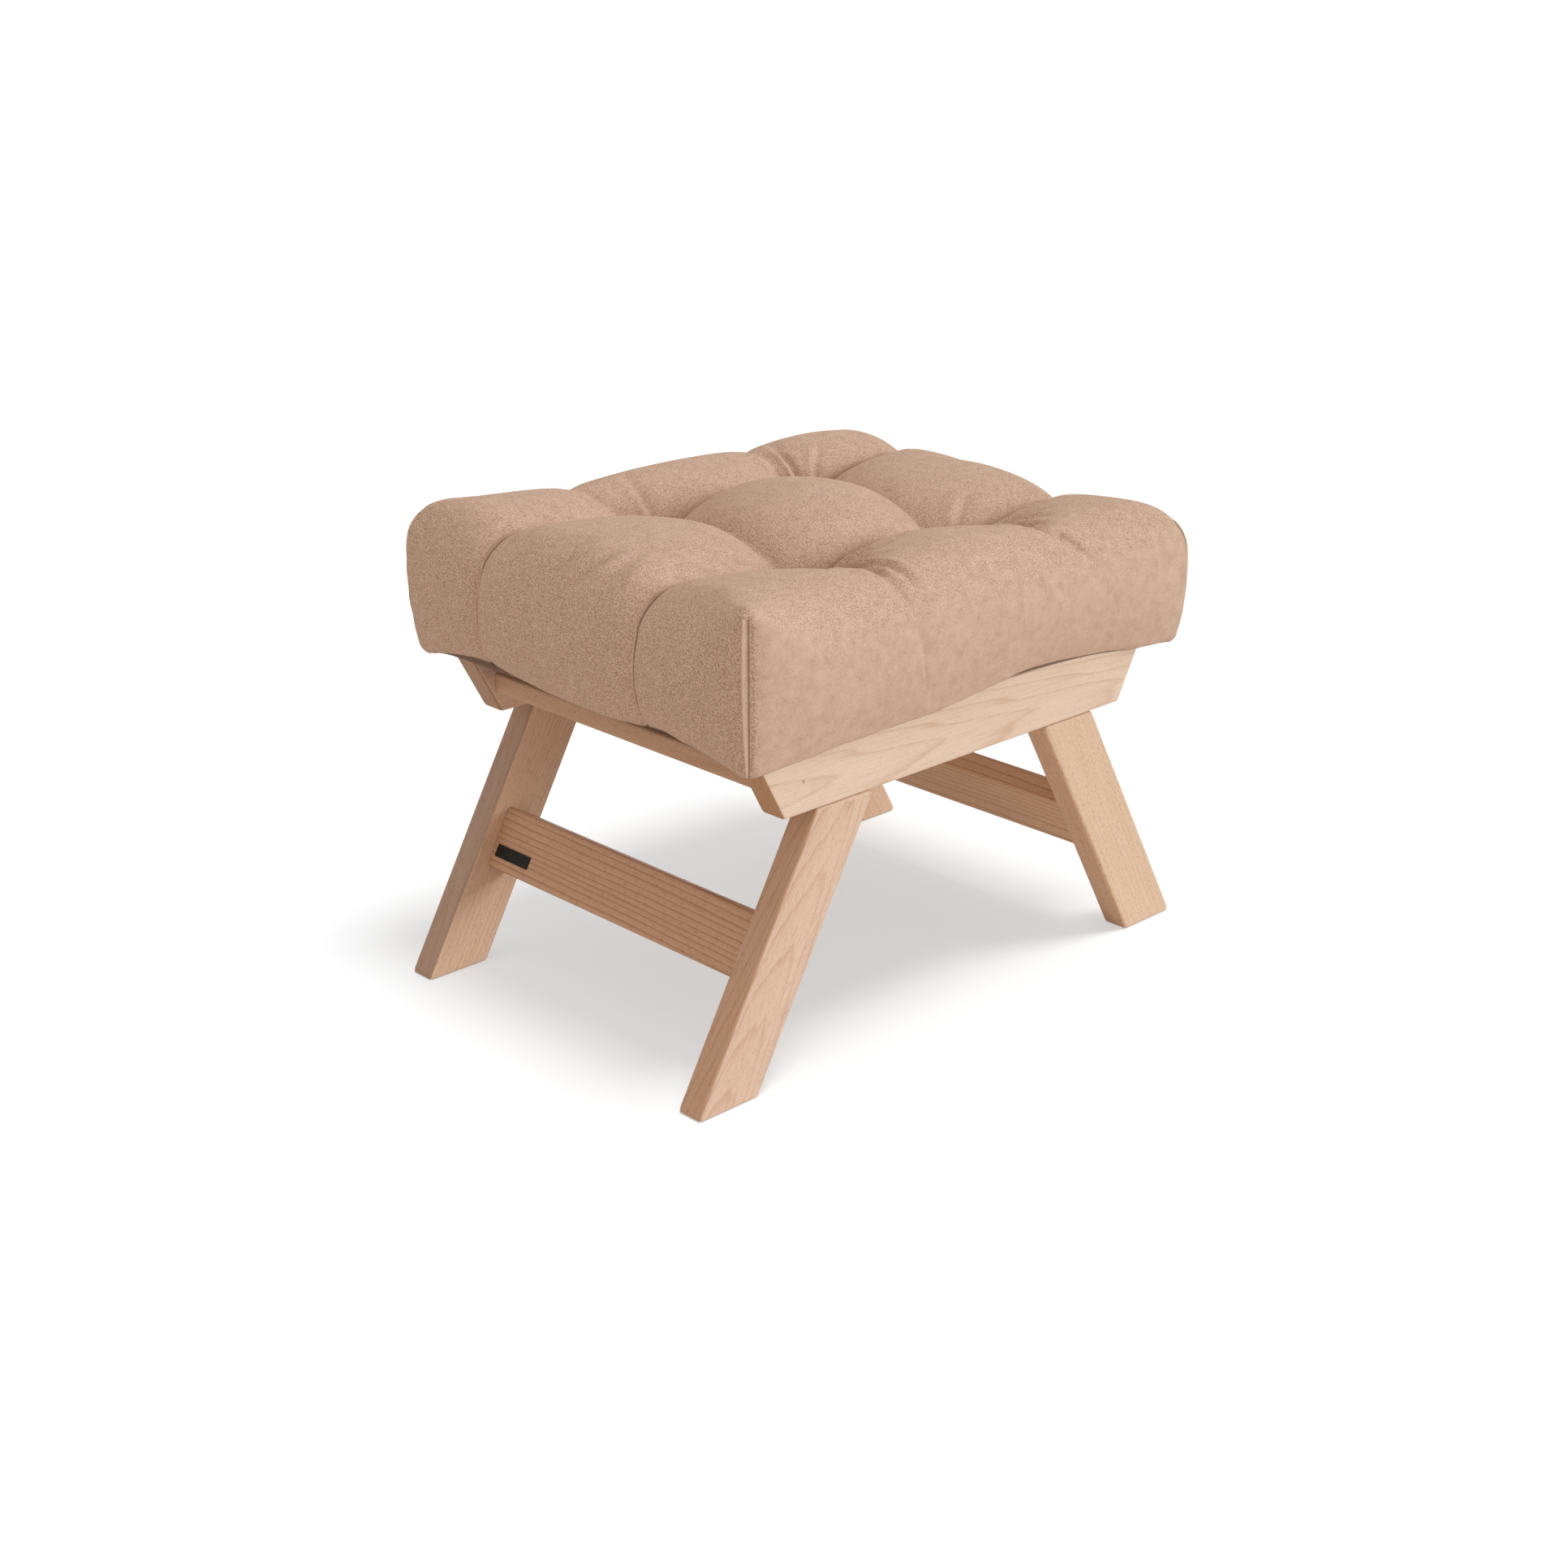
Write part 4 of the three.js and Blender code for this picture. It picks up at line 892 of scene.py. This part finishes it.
def sew(cushion, sewing, folds):
    read = {key: readAttribute(cushion, key) for key in laid}
    points = readPoints(cushion)
    cover = read["cover"] > 0.5
    seam = np.where(np.abs(read["seam0"]) < np.abs(read["seam1"]), read["seam0"], read["seam1"])
    onSide = smooth(read["down"] / sewing["rollStart"])
    rolled = onSide * smooth((points[:, 2] - sewing["rollEnd"]) / sewing["rollFade"])
    dip = np.zeros(len(cover))
    for key in ("seam0", "seam1"):
        dip += sewing["grooveDepth"] * bellAt(read[key], 0, sewing["grooveWidth"])
    dip += sewing["ditchDepth"] * rolled * bellAt(read["corner"], sewing["ditchPlace"],
                                                  sewing["ditchWidth"])
    dip -= sewing["weltHeight"] * rolled * bellAt(read["corner"], sewing["weltPlace"],
                                                  sewing["weltWidth"])
    for fold in folds:
        dip += foldDip(read["s"], read["t"], fold, foldForm)
    fromEar = np.linalg.norm(points - np.array(sewing["earTop"]), axis=1)
    pull = bellAt(fromEar, 0, sewing["earReach"]) * cover
    points = points - readNormals(cushion) * (dip * cover)[:, None]
    writePoints(cushion, points + pull[:, None] * np.array(sewing["earPull"]))

    # what the finish needs: distances to the nearest seam and corner seam, and 1 on the lining
    for key in laid:
        cushion.data.attributes.remove(cushion.data.attributes[key])
    corner = read["corner"] + sewing["topAway"] * (1 - onSide)
    addAttribute(cushion, "seamAway", np.where(cover, seam, 1))
    addAttribute(cushion, "cornerAway", np.where(cover, corner, 1))
    addAttribute(cushion, "lined", read["under"])


sew(cushion, sewing, folds)
pick(cushion)
bpy.ops.object.shade_smooth()
print("cushion sewn:", len(cushion.data.polygons), "faces")

# The suede of the cover: a nap of fine fibres, with painted shade in the seams and painted
# highlights along their edges

suedeLook = {
    "colours": (linear(175, 145, 125), linear(202, 174, 154), linear(221, 194, 174)),
    "places": (0.36, 0.5, 0.66),  # dark, middle and light
    "fibreScale": 1700, "grainScale": 950, "patchScale": 110,
    "nap": 0.8, "patches": 0.25,  # shares of the fine and the broad pattern
    # painted light and shade: how strongly the nap shows on the near side, on top and on the end
    # sides, set by how the light meets each side
    "nearContrast": 0.45, "topContrast": 1.9, "endContrast": 5.0,
    "topRange": (0.2, 0.8), "endRange": (0.3, 0.8),  # how squarely a face looks up or along X
    # painted shade: the dark colour of a seam line is the thread together with the shadow in its
    # crease
    "threadAndShade": linear(120, 88, 68), "threadAndShadeShare": 0.75,
    "line": 0.5 * mm, "topLine": 1.3 * mm,  # width of the dark line, wider on top
    "lineRange": (0.2, 0.6), "ditch": 0.4 * mm,
    # painted highlights: the lit edge beside a seam line and the lit roll of a corner seam
    "paintedHighlight": linear(238, 211, 190), "lipShare": 0.7,  # the lit edge beside a line
    "lipPlace": 1.2 * mm, "lipWidth": 0.55 * mm, "seamHighlight": 0.7,
    "welt": -1.2 * mm, "weltWidth": 0.6 * mm,
    # the lining is darker, and its colour reaches the hem as a thin dark line of painted shade
    # where the hem meets the rail
    "lining": linear(116, 94, 78), "liningRange": (0.75, 1.0),
    "bump": 0.4, "bumpDepth": 0.6 * mm, "fibreHeight": 0.5, "lineHeight": 1.5,
    "surface": {
        "Roughness": 0.95, "Specular IOR Level": 0.1, "Sheen Weight": 0.25,
        "Sheen Roughness": 0.5, "Sheen Tint": (*linear(236, 214, 194), 1),
    },
}


def suedeMaterial(look):
    shader = Shader(bpy.data.materials.new("microsuede"))
    coordinates = shader.node("TexCoord").outputs
    place = coordinates["Object"]
    facing = shader.node("SeparateXYZ", {"Vector": coordinates["Normal"]}).outputs

    def bell(value, place, width):
        # 1 on a line, falling away on both sides of it
        part = shader.math("DIVIDE", shader.math("SUBTRACT", value, place), width)
        return shader.math("EXPONENT", shader.times(shader.times(part, part), -1))

    def read(name):
        return shader.node("Attribute", attribute_name=name).outputs["Fac"]

    # painted light and shade: the nap's speckle is painted strongest where the light grazes the
    # raised fibres and weakest where it falls on them head on
    fibres = shader.noise(place, look["fibreScale"], 2.0)
    grain = shader.noise(place, look["grainScale"], 3.0, 0.7)
    patches = shader.noise(place, look["patchScale"], 3.0, 0.6)
    paintedNapShade = shader.ranged(facing[2], *look["topRange"], look["nearContrast"],
                             look["topContrast"])
    xFacing = shader.ranged(shader.math("ABSOLUTE", facing[0]), *look["endRange"], 0.0,
                          look["endContrast"])
    paintedNapShade = shader.math("MAXIMUM", paintedNapShade, xFacing)
    nap = shader.times(shader.math("SUBTRACT", grain, 0.5), paintedNapShade)
    patches = shader.times(shader.math("SUBTRACT", patches, 0.5), look["patches"])
    factor = shader.plus(shader.times(nap, look["nap"]), patches, 0.5)
    colour = shader.ramp(factor, look["places"], look["colours"])

    # painted shade: the valley of a seam gets a dark line, the thread together with the crease's
    # shadow, wider on top where the puffs press together; the ditch of a corner seam gets the same
    # painted shade
    seam, corner = read("seamAway"), read("cornerAway")
    width = shader.ranged(facing[2], *look["lineRange"], look["line"], look["topLine"])
    line = shader.math("MAXIMUM", bell(seam, 0, width), bell(corner, look["ditch"], look["line"]))
    # painted highlights beside the seam line and on the rolled corner seam
    seamHighlight = shader.times(bell(seam, look["lipPlace"], look["lipWidth"]), look["seamHighlight"])
    paintedHighlight = shader.math("MAXIMUM", seamHighlight, bell(corner, look["welt"], look["weltWidth"]))
    colour = shader.mix(shader.times(paintedHighlight, look["lipShare"]), colour, look["paintedHighlight"])
    colour = shader.mix(shader.times(line, look["threadAndShadeShare"]), colour, look["threadAndShade"])
    # the underside's lining colour, which at the hem is painted shade
    lined = shader.ranged(read("lined"), *look["liningRange"])
    colour = shader.mix(lined, colour, look["lining"])
    height = shader.math("SUBTRACT", shader.plus(shader.times(fibres, look["fibreHeight"]), grain),
                         shader.times(line, look["lineHeight"]))
    return shader.finish({"Base Color": colour, **look["surface"],
                          "Normal": shader.bump(height, look["bump"], look["bumpDepth"])})


cushion.data.materials.clear()
cushion.data.materials.append(suedeMaterial(suedeLook))
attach(cushion, "root")
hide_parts("cushion_cover_near", "cushion_cover_middle", "cushion_cover_far",
            "cushion_cover_underside", "cushion_filling")
print("cushion covered")

# Floor, world and lamps

studio = {
    "warm": (1.0, 0.875, 0.785), "worldStrength": 0.59,   # the light from all sides
    # the floor as the light meets it and as the camera sees it, and the white that it adds
    "floorLit": (0.58, 0.58, 0.58), "floorSeen": (0.50, 0.575, 0.645), "floorGlow": 0.46,
    "floorSize": 14,
}
lamps = {
    # azimuth is the side that the light comes from, 0 from -Y and 90 from +X, in degrees;
    # floor says whether the lamp shines on the floor alone or on everything else
    "keyLight": {"azimuth": 30, "elevation": 18, "strength": 1.45, "softness": 26,
                 "colour": (0.94, 0.995, 1.02), "floor": "EXCLUDE"},
    "floorLight": {"azimuth": 25, "elevation": 76, "strength": 2.1, "softness": 20,
                   "colour": studio["warm"], "floor": "INCLUDE"},
    "topLight": {"azimuth": 0, "elevation": 80, "strength": 0.50, "softness": 30,
                 "colour": (1, 1, 1), "floor": "EXCLUDE"},
}


def seenRays(shader):
    # 1 for rays that show a surface, 0 for rays that only carry its light
    rays = shader.node("LightPath").outputs
    share = rays["Is Camera Ray"]
    for kind in ("Is Glossy Ray", "Is Transmission Ray"):
        share = shader.math("MAXIMUM", share, rays[kind])
    return share


def floorMaterial(look):
    # clips to white where no shadow falls
    shader = Shader(bpy.data.materials.new("studio_floor"))
    seen = seenRays(shader)
    shader.finish({"Base Color": shader.mix(seen, look["floorLit"], look["floorSeen"]),
                   "Roughness": 1, "Specular IOR Level": 0})
    glow = shader.node("Emission", {"Color": (1, 1, 1, 1),
                                    "Strength": shader.times(seen, look["floorGlow"])})
    surface = shader.nodes["Principled BSDF"]
    both = shader.node("AddShader", {0: surface.outputs[0], 1: glow.outputs[0]})
    shader.feed(shader.nodes["Material Output"], {"Surface": both.outputs[0]})
    return shader.owner


def makeFloor(look):
    deselectAll()
    bpy.ops.mesh.primitive_plane_add(size=look["floorSize"], location=(0, 0, 0))
    floor = bpy.context.object
    floor.name = "studio_floor"
    floor.data.materials.append(floorMaterial(look))
    return floor


def lightWorld(look):
    # warm light from all sides in front of a white background
    shader = Shader(bpy.data.worlds.new("studio"))
    bpy.context.scene.world = shader.owner
    room = shader.nodes["Background"]
    shader.feed(room, {"Color": (*look["warm"], 1), "Strength": look["worldStrength"]})
    white = shader.node("Background", {"Color": (1, 1, 1, 1), "Strength": 1.0})
    both = shader.node("MixShader", {0: seenRays(shader), 1: room.outputs[0],
                                     2: white.outputs[0]})
    shader.feed(shader.nodes["World Output"], {"Surface": both.outputs[0]})


def makeLamp(name, lamp, floor):
    # a soft sun, for which only the direction of its place counts
    side, height = math.radians(lamp["azimuth"]), math.radians(lamp["elevation"])
    away = Vector((math.sin(side) * math.cos(height), -math.cos(side) * math.cos(height),
                   math.sin(height)))
    bpy.ops.object.light_add(type="SUN", location=away * 3,
                             rotation=away.to_track_quat("Z", "Y").to_euler())
    light = bpy.context.object
    light.name = name
    light.data.angle = math.radians(lamp["softness"])
    light.data.energy = lamp["strength"]
    light.data.color = lamp["colour"]
    receivers = bpy.data.collections.new(name + "_receivers")
    receivers.objects.link(floor)
    receivers.collection_objects[0].light_linking.link_state = lamp["floor"]
    light.light_linking.receiver_collection = receivers


floor = makeFloor(studio)
lightWorld(studio)
for name, lamp in lamps.items():
    makeLamp(name, lamp, floor)
print("studio lit")
